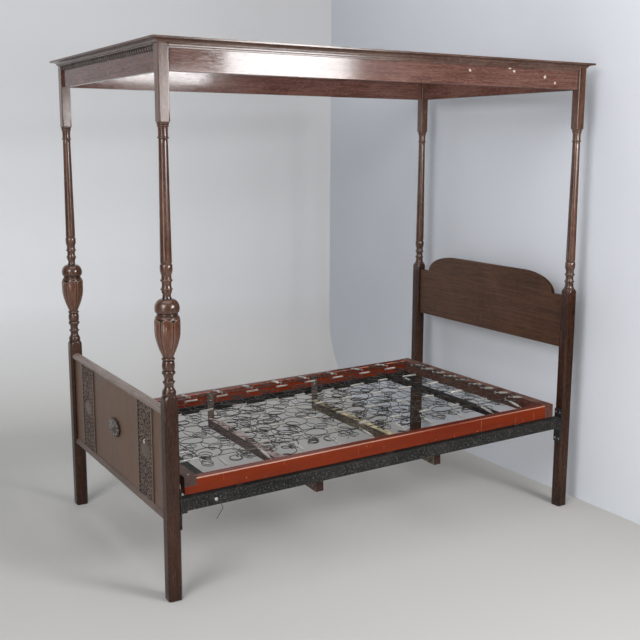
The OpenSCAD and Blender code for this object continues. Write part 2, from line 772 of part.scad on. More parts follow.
// Round-headed bolts through flange, tail and tab, each with its square nut
module iron_bolts() {
  stack = iron_t + tail_t + cross_t + 2 * seat_gap;
  color(zinc)
    on_slope()
      for (sx = [-1, 1], sy = [-1, 1])
        translate([sx * (iron_x + seat_gap), sy * bolt_y, bolt_z])
          rotate([0, sx * 90, 0]) {
            intersection() {
              translate([0, 0, -bolt_d * 0.55]) sphere(r = bolt_d * 1.1);
              cylinder(h = bolt_d * 0.55, r = bolt_d);
            }
            translate([0, 0, -stack - bolt_d])
              cylinder(h = stack + bolt_d + 1, d = bolt_d);
            translate([0, 0, -stack - 3 * seat_gap - bolt_d * 0.35])
              cube([bolt_d * 1.7, bolt_d * 1.7, bolt_d * 0.7], center = true);
          }
}

// ---------------------------------------------------------------- sprung base

base_x = iron_x - iron_t - side_gap;        // half of the base's width
base_w = 2 * base_x;
rail_in = base_x - rail_w;                  // inner faces of the rails
base_y0 = -inner_l + foot_gap;
base_y1 = inner_l - head_gap;
base_l = base_y1 - base_y0;
rail_z0 = packer_t;
rail_z1 = packer_t + rail_h;
foot_bar_z = rail_z1 - foot_lap;
foot_bar_top = foot_bar_z + foot_bar_h;
pin_depth = 22;
arm_r = hook_wire / 2;

// The net's rings fill its border, whose size follows the frame's
thin = net_wire / 2;                        // half of the wire's thickness
hole_r = net_ring_d / 2 - thin;             // the rings are eight-sided
net_x = rail_in - net_side_gap;             // half of the net's width and length
net_y = base_l / 2 - end_w - net_end_gap;
last_x = net_x - border_wire - hole_r;      // centres of the outermost rings
last_y = net_y - border_wire - hole_r;
ring_pitch_x = 2 * last_x / (net_nx - 1);
ring_pitch_y = 2 * last_y / (net_ny - 1);

// Centres of n copies, the given pitch apart
function row(n, pitch) = [for (k = [0:n - 1]) (k - (n - 1) / 2) * pitch];
// Springs hook on the net's edge at every given number of rings
function edge_row(rings, step, pitch) = row(floor(1 + (rings - 1) / step), step * pitch);
side_ys = edge_row(net_ny, side_step, ring_pitch_y);
end_xs = edge_row(net_nx, end_step, ring_pitch_x);

module frame_screw_cuts()
  for (sx = [-1, 1]) {
    translate([sx * (base_x - rail_w / 2), base_y0 + end_w / 2, foot_bar_top - frame_screw_l - cut])
      cylinder(h = frame_screw_l + 2 * cut, r = screw_d / 2 + screw_gap);
    translate([sx * (base_x - rail_w / 2), base_y0 + end_w / 2, foot_bar_top - screw_head_h - screw_gap])
      cylinder(h = screw_head_h + screw_gap + cut, r = screw_head_d / 2 + screw_gap);
    translate([sx * (base_x - rail_w / 2), base_y1 + cut, rail_z0 + rail_h / 2])
      rotate([90, 0, 0]) {
        cylinder(h = end_w + frame_screw_l + cut, r = screw_d / 2 + screw_gap);
        cylinder(h = screw_head_h + screw_gap + cut, r = screw_head_d / 2 + screw_gap);
      }
  }

// Painted rail: rounded on top, notched under the foot bar, butted on the head bar
module base_rail(sx)
  color(red_paint)
    difference() {
      on_slope()
        mirror([sx < 0 ? 1 : 0, 0, 0])
          difference() {
            translate([rail_in, base_y0, rail_z0])
              union() {
                cube([rail_w, base_l - end_w - seat_gap, rail_h - rail_round]);
                translate([rail_round, 0, 0])
                  cube([rail_w - 2 * rail_round, base_l - end_w - seat_gap, rail_h]);
                for (x = [rail_round, rail_w - rail_round])
                  translate([x, 0, rail_h - rail_round])
                    rotate([-90, 0, 0])
                      cylinder(h = base_l - end_w - seat_gap, r = rail_round);
              }
            translate([rail_in - cut, base_y0 - cut, foot_bar_z])
              cube([rail_w + 2 * cut, end_w + seat_gap + cut, rail_h]);
            for (y = side_ys)
              translate([rail_in + pin_inset, y, rail_z1 - pin_depth - seat_gap])
                cylinder(h = pin_depth + 2, r = arm_r + seat_gap, $fn = 24);
          }
      on_slope() {
        frame_screw_cuts();
        strap_screw_cuts();
      }
    }
module base_rail_left() base_rail(-1);
module base_rail_right() base_rail(1);

module base_bar_foot()
  color(oak)
    on_slope()
      difference() {
        translate([-base_x, base_y0, foot_bar_z + seat_gap])
          cube([base_w, end_w, foot_bar_h - seat_gap]);
        frame_screw_cuts();
        for (x = end_xs)
          translate([x, base_y0 + end_w - pin_inset, foot_bar_top - pin_depth - seat_gap])
            cylinder(h = pin_depth + 2, r = arm_r + seat_gap, $fn = 24);
      }
module base_bar_head()
  color(rusty)
    on_slope()
      difference() {
        translate([-base_x, base_y1 - end_w, rail_z0])
          cube([base_w, end_w, rail_h]);
        frame_screw_cuts();
        for (x = end_xs)
          translate([x, base_y1 - end_w + pin_inset, rail_z1 - pin_depth - seat_gap])
            cylinder(h = pin_depth + 2, r = arm_r + seat_gap, $fn = 24);
      }
module frame_screws()
  color(zinc)
    on_slope()
      for (sx = [-1, 1]) {
        translate([sx * (base_x - rail_w / 2), base_y0 + end_w / 2, foot_bar_top])
          screw(frame_screw_l);
        translate([sx * (base_x - rail_w / 2), base_y1, rail_z0 + rail_h / 2])
          rotate([-90, 0, 0])
            screw(end_w + frame_screw_l);
      }

module packers()
  color(iron_black)
    on_slope()
      for (sx = [-1, 1], y = row(3, packer_pitch))
        translate([sx * (base_x - rail_w / 2), y, (rest_gap + packer_t - seat_gap) / 2])
          cube([rail_w - 4, packer_l, packer_t - seat_gap - rest_gap], center = true);

foot_lath_y = base_y0 + foot_lath_share * base_l;
head_lath_y = base_y0 + head_lath_share * base_l;
lath_ys = [foot_lath_y, head_lath_y];
lath_z1 = rail_z0 - lath_drop;              // top of the laths
lath_z0 = lath_z1 - lath_h;
strap_screw_zs = [rail_z1 - 18, rail_z0 + 14];

// Straps down the inner faces of the rails, turned in under the laths
module hanger_straps()
  color(rusty)
    on_slope()
      difference() {
        for (sx = [-1, 1], y = lath_ys)
          translate([0, y, 0])
            mirror([sx < 0 ? 1 : 0, 0, 0]) {
              translate([rail_in - seat_gap - strap_t, -strap_w / 2, lath_z0 - strap_t - seat_gap])
                cube([strap_t, strap_w, rail_z1 - 6 - lath_z0 + strap_t + seat_gap]);
              translate([rail_in - seat_gap - strap_foot, -strap_w / 2,
                         lath_z0 - strap_t - seat_gap])
                cube([strap_foot, strap_w, strap_t]);
            }
        strap_screw_cuts();
      }
module strap_screw_cuts()
  at_strap_screws()
    translate([0, 0, -strap_screw_l - cut])
      cylinder(h = strap_screw_l + 5, r = screw_d / 2 + screw_gap);
module at_strap_screws()
  for (sx = [-1, 1], y = lath_ys) {
    for (z = strap_screw_zs)
      translate([sx * (rail_in - seat_gap - strap_t - screw_head_h - seat_gap), y, z])
        rotate([0, -sx * 90, 0])
          children();
    translate([sx * (rail_in - strap_foot + 12), y,
               lath_z0 - strap_t - screw_head_h - 2 * seat_gap])
      rotate([180, 0, 0])
        children();
  }
module strap_screws()
  color(zinc)
    on_slope()
      at_strap_screws()
        screw(strap_screw_l);

module lath(y)
  color(oak)
    on_slope()
      difference() {
        translate([0, y, (lath_z0 + lath_z1) / 2])
          cube([2 * (rail_in - strap_t - 2 * seat_gap), lath_w, lath_h], center = true);
        strap_screw_cuts();
      }
module lath_foot() lath(foot_lath_y);
module lath_head() lath(head_lath_y);

// ---------------------------------------------------------------- net and springs

net_z = rail_z1 + net_rise;                 // top face of the net
net_low = net_z - net_wire;
ring_out = net_ring_d / 2 + thin;
flat = ring_out * tan(22.5);                // half of each outer side of a ring

// A quarter of a ring's outside, from one link to the next, seen from direction q
function quarter(q, dx, dy) =
  let (line = [[ring_out, thin], [ring_out, flat], [flat, ring_out], [thin, ring_out]])
    [for (p = line) [q[0] * (p[0] - dx), q[1] * (p[1] - dy)]];
function back(list) = [for (k = [len(list) - 1:-1:0]) list[k]];
function moved(list, by) = [for (p = list) p + by];
ring_hole = [for (a = [22.5:45:337.5]) hole_r / cos(22.5) * [cos(a), sin(a)]];
// Space between four rings and the four straight links that join them
between = concat(
  quarter([1, 1], ring_pitch_x / 2, ring_pitch_y / 2),
  back(quarter([1, -1], ring_pitch_x / 2, ring_pitch_y / 2)),
  quarter([-1, -1], ring_pitch_x / 2, ring_pitch_y / 2),
  back(quarter([-1, 1], ring_pitch_x / 2, ring_pitch_y / 2))
);
// Space between two rings, their link and the border, for a pitch along Y
function edge_space(pitch) =
  let (half = [[hole_r, flat + 2 * thin], [flat, ring_out], [thin, ring_out]])
    concat(half, back([for (p = half) [p[0], pitch - p[1]]]));
// Space in a corner of the border
corner_space = [[hole_r, flat + 2 * thin], [hole_r, hole_r], [flat + 2 * thin, hole_r]];
ring_xs = row(net_nx, ring_pitch_x);
ring_ys = row(net_ny, ring_pitch_y);
net_holes = concat(
  [for (x = ring_xs, y = ring_ys) moved(ring_hole, [x, y])],
  [for (x = row(net_nx - 1, ring_pitch_x), y = row(net_ny - 1, ring_pitch_y))
    moved(between, [x, y])],
  [for (k = [0:net_ny - 2], s = [-1, 1])
    [for (p = edge_space(ring_pitch_y)) [s * (last_x + p[0]), ring_ys[k] + p[1]]]],
  [for (k = [0:net_nx - 2], s = [-1, 1])
    [for (p = edge_space(ring_pitch_x)) [ring_xs[k] + p[1], s * (last_y + p[0])]]],
  [for (sx = [-1, 1], sy = [-1, 1])
    [for (p = corner_space) [sx * (last_x + p[0]), sy * (last_y + p[1])]]]
);
net_edge = [[-net_x, -net_y], [net_x, -net_y], [net_x, net_y], [-net_x, net_y]];
outlines = concat([net_edge], net_holes);
outline_end = [for (k = 0, n = len(outlines[0]); k < len(outlines);
                    n = n + (k + 1 < len(outlines) ? len(outlines[k + 1]) : 0), k = k + 1) n];

// Net of linked wire rings inside a border wire
module spring_net()
  color(wire_black)
    on_slope()
      translate([0, 0, net_low])
        linear_extrude(net_wire)
          polygon(
            points = [for (line = outlines) each line],
            paths = [for (k = [0:len(outlines) - 1])
              [for (n = [outline_end[k] - len(outlines[k]):outline_end[k] - 1]) n]]
          );

// Cone spring: one unbroken tube whose first and last half turns lie flat
coil_steps = 8;                             // rings to each turn
coil_sides = 6;
coil_low = lath_z1 + coil_wire / 2 + rest_gap;
coil_high = net_low - coil_wire / 2 - rest_gap;
function climb(t) = min(1, max(0, (t - 0.5) / (coil_turns - 1)));
coil_path = [for (k = [0:coil_steps * coil_turns])
  let (t = k / coil_steps, r = coil_r_low + (coil_r_top - coil_r_low) * climb(t))
    [r * cos(360 * t), r * sin(360 * t), coil_low + (coil_high - coil_low) * climb(t)]];
function unit(v) = v / norm(v);
function along(path, k) =
  unit(path[min(len(path) - 1, k + 1)] - path[max(0, k - 1)]);
function tube_ring(path, k, r, sides) =
  let (t = along(path, k), u0 = unit([path[k][0], path[k][1], 0]),
       u = unit(u0 - (u0 * t) * t), v = cross(t, u))
    [for (s = [0:sides - 1]) path[k] + r * (cos(360 * s / sides) * u + sin(360 * s / sides) * v)];
function tube_faces(n, m) = concat(
  [for (k = [0:n - 2], s = [0:m - 1]) [k * m + s, (k + 1) * m + s, k * m + (s + 1) % m]],
  [for (k = [0:n - 2], s = [0:m - 1])
    [k * m + (s + 1) % m, (k + 1) * m + s, (k + 1) * m + (s + 1) % m]],
  [for (s = [1:m - 2]) [0, s, s + 1]],
  [for (s = [1:m - 2]) [(n - 1) * m, (n - 1) * m + s + 1, (n - 1) * m + s]]
);
// Least distance between surfaces of the tube half a turn or more apart
coil_gap = min([for (a = [0:len(coil_path) - 1], b = [a + coil_steps / 2:1:len(coil_path) - 1])
  norm(coil_path[a] - coil_path[b])]) - coil_wire;
echo(least_gap_of_the_cone_springs = coil_gap);

module cone_springs(y)
  color(wire_black)
    on_slope()
      for (x = row(coil_count, ring_pitch_x))
        translate([x, y, 0])
          polyhedron(
            points = [for (k = [0:len(coil_path) - 1])
              each tube_ring(coil_path, k, coil_wire / 2, coil_sides)],
            faces = tube_faces(len(coil_path), coil_sides)
          );
module cone_springs_foot() cone_springs(foot_lath_y);
module cone_springs_head() cone_springs(head_lath_y);

// Straight rod between two points of the XZ plane
module rod(a, b, r)
  translate([a[0], 0, a[1]])
    rotate([0, atan2(b[0] - a[0], b[1] - a[1]), 0])
      cylinder(h = norm(b - a), r = r, $fn = 24);

// Small edge spring in the XZ plane: a pin in the timber, a close-wound body, and
// an eye round the border wire. x runs from the pin (0) to the border wire.
module edge_spring(run, timber_top, barrel_l, lead) {
  start = [0, timber_top + arm_r + seat_gap];
  eye_r = border_wire / 2 + arm_r + 0.9;
  eye = [run - eye_r, net_z - net_wire / 2];
  dir = unit(eye - start);
  rod([0, timber_top - pin_depth], start + [0, arm_r], arm_r);
  rod(start, eye, arm_r);
  rod(start + lead * dir, start + (lead + barrel_l) * dir, barrel_r);
  translate([run, 0, net_z - net_wire / 2])
    rotate([90, 0, 0])
      rotate_extrude($fn = 24)
        translate([eye_r, 0])
          circle(r = arm_r, $fn = 16);
}

border_mid = border_wire / 2;
barrel_lead = pin_inset + 4;                // the bodies start clear of the timbers
module side_springs()
  color(zinc)
    on_slope()
      for (sx = [-1, 1], y = side_ys)
        mirror([sx > 0 ? 1 : 0, 0, 0])
          translate([-rail_in - pin_inset, y, 0])
            edge_spring(rail_in + pin_inset - net_x + border_mid, rail_z1,
                        side_barrel_l, barrel_lead + 6);
module end_springs()
  color(zinc)
    on_slope()
      for (x = end_xs) {
        foot_pin = base_y0 + end_w - pin_inset;
        head_pin = base_y1 - end_w + pin_inset;
        translate([x, foot_pin, 0])
          rotate(90)
            edge_spring(-foot_pin - net_y + border_mid, foot_bar_top,
                        end_barrel_l, barrel_lead);
        translate([x, head_pin, 0])
          rotate(-90)
            edge_spring(head_pin - net_y + border_mid, rail_z1, end_barrel_l, barrel_lead);
      }

foot_post_left();
foot_post_right();
head_post_left();
head_post_right();
foot_panel();
foot_cap();
foot_moulding();
foot_carving_left();
foot_carving_right();
rosette();
headboard();
frieze_foot();
frieze_head();
frieze_left();
frieze_right();
bed_moulding_head();
bed_moulding_left();
bed_moulding_right();
gadroon_strip();
cornice_foot();
cornice_head();
cornice_left();
cornice_right();
post_pins();
bracket_foot_left();
bracket_foot_right();
bracket_head_left();
bracket_head_right();
bracket_screws();
side_iron_left();
side_iron_right();
iron_hooks();
cross_iron_foot();
cross_iron_head();
iron_bolts();
base_rail_left();
base_rail_right();
base_bar_foot();
base_bar_head();
frame_screws();
packers();
hanger_straps();
strap_screws();
lath_foot();
lath_head();
spring_net();
cone_springs_foot();
cone_springs_head();
side_springs();
end_springs();
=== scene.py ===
import math

import bpy
import numpy as np
from mathutils import Matrix, Vector


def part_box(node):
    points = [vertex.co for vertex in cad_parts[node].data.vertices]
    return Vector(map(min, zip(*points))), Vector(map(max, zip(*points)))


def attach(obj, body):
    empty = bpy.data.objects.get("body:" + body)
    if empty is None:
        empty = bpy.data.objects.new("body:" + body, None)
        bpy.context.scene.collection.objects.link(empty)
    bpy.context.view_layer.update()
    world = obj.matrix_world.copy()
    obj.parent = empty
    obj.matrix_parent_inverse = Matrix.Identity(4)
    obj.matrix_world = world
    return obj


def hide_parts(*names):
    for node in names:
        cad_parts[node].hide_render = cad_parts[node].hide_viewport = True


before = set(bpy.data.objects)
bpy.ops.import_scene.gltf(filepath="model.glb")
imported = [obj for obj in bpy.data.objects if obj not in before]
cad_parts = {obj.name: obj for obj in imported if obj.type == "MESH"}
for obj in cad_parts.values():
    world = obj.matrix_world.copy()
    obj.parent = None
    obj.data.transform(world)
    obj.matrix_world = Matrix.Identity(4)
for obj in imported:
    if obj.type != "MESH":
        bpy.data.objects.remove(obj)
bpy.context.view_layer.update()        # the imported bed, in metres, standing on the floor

# ---------------------------------------------------------------- Camera
# The eye of someone who stands a little way off the bed's right foot corner and
# looks along it, slightly down. Angles are in radians.
eye = Vector((3.7719, -2.24865, 1.67395))
turn, dip, lean = 1.034248, 0.177069, 0.004559
ahead = Vector((-math.sin(turn) * math.cos(dip), math.cos(turn) * math.cos(dip), -math.sin(dip)))
level = Vector((math.cos(turn), math.sin(turn), 0.0))
upright = level.cross(ahead)
right_hand = level * math.cos(lean) + upright * math.sin(lean)
overhead = upright * math.cos(lean) - level * math.sin(lean)
camera_data = bpy.data.cameras.new("viewer")
camera_data.lens = 54.50
camera_data.sensor_width = 36.0
camera = bpy.data.objects.new("viewer", camera_data)
camera.matrix_world = Matrix.Translation(eye) @ Matrix(
    (right_hand, overhead, -ahead)).transposed().to_4x4()
bpy.context.scene.collection.objects.link(camera)
bpy.context.scene.camera = camera
bpy.context.scene.view_settings.view_transform = "Standard"


# ---------------------------------------------------------------- Room
# A pale painted floor that sweeps up into the far wall, and a plain wall close
# behind the headboard. The walls show from the front only and cast nothing.
def put(tree, kind, setting=None, **feeds):
    """Adds a shader node. Feeds are values or other nodes' outputs, by input name or number."""
    node = tree.nodes.new("ShaderNode" + kind)
    for name, value in (setting or {}).items():
        setattr(node, name, value)
    for name, value in feeds.items():
        number = name[1:]
        socket = node.inputs[int(number) if number.isdigit() else name.replace("_", " ")]
        if isinstance(value, bpy.types.NodeSocket):
            tree.links.new(value, socket)
        else:
            socket.default_value = value
    return node


def blend_colours(tree, share, first, second, way="MIX"):
    """Mixes two colours by a share and gives the output socket."""
    return put(tree, "Mix", {"data_type": "RGBA", "blend_type": way},
               _0=share, _6=first, _7=second).outputs[2]


def reckon(tree, way, first, second=0.0, third=0.0, clamp=False):
    """One sum, product or other reckoning on values."""
    return put(tree, "Math", {"operation": way, "use_clamp": clamp},
               _0=first, _1=second, _2=third).outputs[0]


def at_rest(tree):
    """Each point's place on the bed as it stands, in metres, whatever is lifted."""
    return put(tree, "TexCoord").outputs["Object"]


def part(tree, vector, axis):
    """One part of a vector: 0 along X, 1 along Y, 2 along Z."""
    return put(tree, "SeparateXYZ", None, Vector=vector).outputs[axis]


def looks_along(tree, axis):
    """How far a surface looks along an axis, from -1 to 1."""
    return part(tree, put(tree, "NewGeometry").outputs["Normal"], axis)


def noise(tree, where, scale, detail, rough=0.5):
    """Soft clouds from 0 to 1. The higher the scale, the smaller they are."""
    return put(tree, "TexNoise", None, Vector=where, Scale=scale, Detail=detail,
               Roughness=rough).outputs[0]


def spread(tree, value, low, high, to_low=0.0, to_high=1.0):
    """Stretches the part of a value between low and high to a new range, and clips it."""
    return put(tree, "MapRange", None, _0=value, _1=low, _2=high, _3=to_low, _4=to_high).outputs[0]


def new_finish(name):
    """An empty material with its shader: (material, tree, shader)."""
    material = bpy.data.materials.new(name)
    material.use_nodes = True
    tree = material.node_tree
    return material, tree, tree.nodes["Principled BSDF"]


def set_shader(shader, **values):
    """Sets plain numbers and colours on the shader's own sockets."""
    for name, value in values.items():
        shader.inputs[name.replace("_", " ")].default_value = value


def add_mesh(name, verts, faces, finish, crisp=40.0):
    """A mesh object in its place, smooth but for edges sharper than crisp degrees."""
    mesh = bpy.data.meshes.new(name)
    mesh.from_pydata(np.asarray(verts, float).tolist(), [], faces)
    mesh.materials.append(finish)
    mesh.polygons.foreach_set("use_smooth", np.ones(len(mesh.polygons), bool))
    mesh.update()
    mesh.set_sharp_from_angle(angle=math.radians(crisp))
    obj = bpy.data.objects.new(name, mesh)
    bpy.context.scene.collection.objects.link(obj)
    return obj


def room_finish(name, colour, patch, roughness, fade=None, wall=None, ends=(2.2, 4.2)):
    """Matt paint with faint clouds and scuffs. It fades to patch along an axis as a painted
    fall-off of the light, and wall gives the two tones of painted light on the part that stands up,
    which also darkens towards the top with painted shade. Past ends, along X, it takes the
    backdrop's tone."""
    material, tree, shader = new_finish(name)
    place = at_rest(tree)
    cloud = noise(tree, place, 0.7, 4.0)
    marks = noise(tree, place, 55.0, 3.0)
    where = put(tree, "SeparateXYZ", None, Vector=place).outputs
    share = spread(tree, cloud, 0.35, 0.7)
    # painted light: the tone fades towards patch along one axis
    if fade:
        share = reckon(tree, "ADD", reckon(tree, "MULTIPLY", share, 0.2),
                       spread(tree, where[fade[0]], *fade[1:], 0.0, 0.8), clamp=True)
    tone = blend_colours(tree, share, colour, patch)
    # painted light and shade on the part that stands up: lighter towards -Y, darker towards the top
    if wall:
        upper = blend_colours(tree, spread(tree, where[1], -1.7, 0.7), *wall)
        upper = blend_colours(tree, spread(tree, where[2], 1.0, 3.6, 0.0, 0.55), upper,
                              (0.34, 0.34, 0.35, 1))
        tone = blend_colours(tree, spread(tree, where[2], 0.02, 0.7), tone, upper)
    tone = blend_colours(tree, spread(tree, marks, 0.68, 0.8, 0.0, 0.10), tone,
                         (0.30, 0.29, 0.28, 1))
    tree.links.new(tone, shader.inputs["Base Color"])
    set_shader(shader, Roughness=roughness, Specular_IOR_Level=0.12)
    clear = put(tree, "BsdfTransparent")
    back = put(tree, "NewGeometry").outputs["Backfacing"]
    far = reckon(tree, "MAXIMUM", spread(tree, where[0], *ends), spread(tree, where[1], 1.6, 4.5))
    far = reckon(tree, "MAXIMUM", far, spread(tree, where[1], -2.8, -4.4))
    light_path = put(tree, "LightPath").outputs
    far = reckon(tree, "MULTIPLY", far, light_path["Is Camera Ray"])
    haze = put(tree, "Emission", None, Color=(0.58, 0.59, 0.61, 1), Strength=1.0)
    shown_floor = put(tree, "MixShader", None, _0=far, _1=shader.outputs[0], _2=haze.outputs[0])
    both = put(tree, "MixShader", None, _0=back, _1=shown_floor.outputs[0], _2=clear.outputs[0])
    tree.links.new(both.outputs[0], tree.nodes["Material Output"].inputs["Surface"])
    return material


head_wall_y, corner_x, splay, sweep_r, room_h = 1.115, -1.76, 0.278, 0.55, 5.0
# painted light: slightly darker towards -X, and where it stands up lighter towards -Y
floor_finish = room_finish("floor_paint", (0.58, 0.572, 0.555, 1), (0.56, 0.555, 0.54, 1), 0.65,
                           (0, 1.2, -1.2),
                           ((0.95, 0.97, 1.0, 1), (0.70, 0.705, 0.73, 1)))
# painted light: the head wall grows lighter towards +X
wall_finish = room_finish("wall_paint", (0.60, 0.63, 0.68, 1), (0.88, 0.91, 0.97, 1), 0.7,
                          (0, -1.6, 1.1),
                          ends=(1.0, 2.0))
profile = [(12.0, 0.0), (sweep_r, 0.0)]
profile += [(sweep_r * (1 - math.sin(a)), sweep_r * (1 - math.cos(a)))
            for a in np.linspace(0.1, math.pi / 2, 14)]
profile += [(0.0, room_h)]
floor = add_mesh("floor", [(corner_x + d - lean_back, y, z) for d, z in profile
                           for y, lean_back in ((head_wall_y, 0.0),
                                                (-9.0, splay * (head_wall_y + 9.0)))],
                 [(2 * k + 1, 2 * k, 2 * k + 2, 2 * k + 3) for k in range(len(profile) - 1)],
                 floor_finish)
beyond = add_mesh("floor_beyond", [(-12, -12, -0.002), (12, -12, -0.002), (12, 12, -0.002),
                                   (-12, 12, -0.002)],
                  [(0, 1, 2, 3)], floor_finish)
head_wall = add_mesh("head_wall", [(corner_x, head_wall_y, 0), (10, head_wall_y, 0),
                                   (10, head_wall_y, room_h), (corner_x, head_wall_y, room_h)],
                     [(0, 1, 2, 3)], wall_finish)
for sheet_of_room in (floor, beyond, head_wall):
    sheet_of_room.visible_shadow = False
head_wall.visible_diffuse = head_wall.visible_glossy = False


def softbox(name, place, aim, size, watts):
    """A large soft lamp that looks at a point."""
    lamp = bpy.data.lights.new(name, "AREA")
    lamp.shape, lamp.size, lamp.size_y, lamp.energy = "RECTANGLE", size[0], size[1], watts
    obj = bpy.data.objects.new(name, lamp)
    obj.location = place
    obj.visible_camera = False
    obj.rotation_mode = "QUATERNION"
    obj.rotation_quaternion = (Vector(aim) - Vector(place)).to_track_quat("-Z", "Y")
    bpy.context.scene.collection.objects.link(obj)


softbox("softbox_right", (3.20, 0.95, 2.15), (0.3, -0.2, 1.7), (0.82, 1.0), 62)
softbox("softbox_right_low", (3.36, 0.28, 1.75), (0.3, -0.2, 1.3), (0.5, 0.8), 13)
softbox("softbox_left", (2.9, -4.4, 3.4), (0.3, -0.2, 1.0), (2.4, 2.0), 106)
softbox("striplight_left", (2.8, -4.2, 1.35), (0.4, -0.4, 1.25), (1.0, 2.5), 32)
softbox("softbox_ceiling", (0.8, -0.9, 4.7), (0.4, -0.3, 0.0), (3.5, 3.5), 66)
world = bpy.data.worlds.new("studio")
bpy.context.scene.world = world
world.use_nodes = True
sky = world.node_tree
ambient = sky.nodes["Background"]
ambient.inputs["Color"].default_value = (0.93, 0.96, 1.0, 1)
ambient.inputs["Strength"].default_value = 0.11
shown = put(sky, "Background", None, Color=(0.58, 0.59, 0.61, 1), Strength=1.0)
path = put(sky, "LightPath").outputs
seen = reckon(sky, "MAXIMUM", path["Is Camera Ray"], path["Is Transmission Ray"])
either = put(sky, "MixShader", None, _0=seen, _1=ambient.outputs[0], _2=shown.outputs[0])
sky.links.new(either.outputs[0], sky.nodes["World Output"].inputs["Surface"])

# ---------------------------------------------------------------- Posts
# Four turned oak posts. Each is square and chamfered below, then turned down to a
# slim tapered shaft, and ends in a plain square block that takes the friezes.
mm = 0.001
post_x, post_y, post_top = 575.0, 980.0, 2018.0
leg_side, leg_chamfer, block_side, block_bottom = 54.0, 8.0, 40.0, 1755.0
foot_leg_top, head_leg_top = 786.0, 1036.0
ring_r, neck_r, bulb_r, bulb_h, dome_h = 22.5, 17.0, 45.0, 150.0, 63.0
shaft_low_r, shaft_top_r = 21.0, 16.5


def new_group(name, takes, gives):
    """A shader group: (group, its inputs' sockets inside, its outputs' sockets inside)."""
    group = bpy.data.node_groups.new(name, "ShaderNodeTree")
    for label, kind, value in takes:
        group.interface.new_socket(label, in_out="INPUT",
                                   socket_type="NodeSocket" + kind).default_value = value
    for label, kind in gives:
        group.interface.new_socket(label, in_out="OUTPUT", socket_type="NodeSocket" + kind)
    enter, leave = group.nodes.new("NodeGroupInput"), group.nodes.new("NodeGroupOutput")
    return group, enter.outputs, leave.inputs


# Grain that runs along Z: streaks, growth bands, open pores and uneven stain
grain_group, g_in, g_out = new_group(
    "oak_grain",
    [("Vector", "Vector", (0, 0, 0)), ("Ground", "Color", (0.03, 0.014, 0.009, 1)),
     ("Figure", "Color", (0.085, 0.042, 0.028, 1)), ("Pale", "Color", (0.22, 0.15, 0.12, 1)),
     ("Band", "Float", 0.4), ("Pale share", "Float", 0.3)],
    [("Color", "Color"), ("Roughness", "Float"), ("Height", "Float")])
g = grain_group
drawn = put(g, "Mapping", None, Vector=g_in["Vector"], Scale=(1, 1, 0.05)).outputs[0]
sway = noise(g, drawn, 7.0, 2.0, 0.4)
rings = reckon(g, "SINE", reckon(g, "MULTIPLY", sway, 95.0))
rings = reckon(g, "POWER", spread(g, rings, -1.0, 1.0), 2.2)
streak = noise(g, drawn, 150.0, 5.0, 0.65)
fine = put(g, "Mapping", None, Vector=g_in["Vector"], Scale=(1, 1, 0.035)).outputs[0]
pore = noise(g, fine, 900.0, 1.0)
pore = spread(g, pore, 0.60, 0.72)
stain = noise(g, g_in["Vector"], 3.4, 5.0, 0.6)
share = reckon(g, "ADD", spread(g, streak, 0.3, 0.7, 0.0, 0.75),
               reckon(g, "MULTIPLY", rings, g_in["Band"]), clamp=True)
wood = blend_colours(g, share, g_in["Ground"], g_in["Figure"])
short = put(g, "Mapping", None, Vector=g_in["Vector"], Scale=(1, 1, 0.22)).outputs[0]
fleck = noise(g, short, 210.0, 3.0, 0.7)
wood = blend_colours(g, spread(g, fleck, 0.52, 0.70, 0.0, 0.45), wood, g_in["Pale"])
wood = blend_colours(g, spread(g, fleck, 0.46, 0.34, 0.0, 0.5), wood, g_in["Ground"])
pale_mask = reckon(g, "MULTIPLY", spread(g, stain, 0.42, 0.72), g_in["Pale share"])
pale_mask = reckon(g, "MULTIPLY", pale_mask, spread(g, streak, 0.35, 0.6, 0.35, 1.0))
wood = blend_colours(g, pale_mask, wood, g_in["Pale"])
wood = blend_colours(g, reckon(g, "MULTIPLY", pore, 0.75), wood,
                     blend_colours(g, 0.75, wood, (0.006, 0.004, 0.003, 1)))
g.links.new(wood, g_out["Color"])
g.links.new(reckon(g, "ADD", spread(g, stain, 0.3, 0.75, -0.03, 0.05),
                   reckon(g, "MULTIPLY", pore, 0.10)),
            g_out["Roughness"])
g.links.new(reckon(g, "SUBTRACT", reckon(g, "MULTIPLY", streak, 0.35), pore), g_out["Height"])

# Handling wear: rubbed arrises, pale knocks and long scratches
wear_group, w_in, w_out = new_group(
    "handling_wear",
    [("Vector", "Vector", (0, 0, 0)), ("Arris", "Float", 0.003), ("Knocks", "Float", 0.5)],
    [("Arris", "Float"), ("Knock", "Float"), ("Scratch", "Float")])
g = wear_group
eased = put(g, "Bevel", {"samples": 4}, Radius=w_in["Arris"]).outputs[0]
flat = put(g, "NewGeometry").outputs["Normal"]
sharpness = reckon(g, "SUBTRACT", 1.0, put(g, "VectorMath", {"operation": "DOT_PRODUCT"}, _0=eased,
                                           _1=flat).outputs["Value"])
patchy = noise(g, w_in["Vector"], 42.0, 5.0, 0.7)
g.links.new(reckon(g, "MULTIPLY", spread(g, sharpness, 0.01, 0.12), spread(g, patchy, 0.36, 0.66),
                   clamp=True),
            w_out["Arris"])
ragged = put(g, "TexNoise", None, Vector=w_in["Vector"], Scale=120.0, Detail=4.0, Roughness=0.8)
stray = put(g, "VectorMath", {"operation": "SCALE"}, _0=ragged.outputs[1], Scale=0.012).outputs[0]
stray = put(g, "VectorMath", {"operation": "ADD"}, _0=w_in["Vector"], _1=stray).outputs[0]
specks = put(g, "TexVoronoi", None, Vector=stray, Scale=22.0).outputs
chance = put(g, "SeparateColor", None, Color=specks["Color"]).outputs
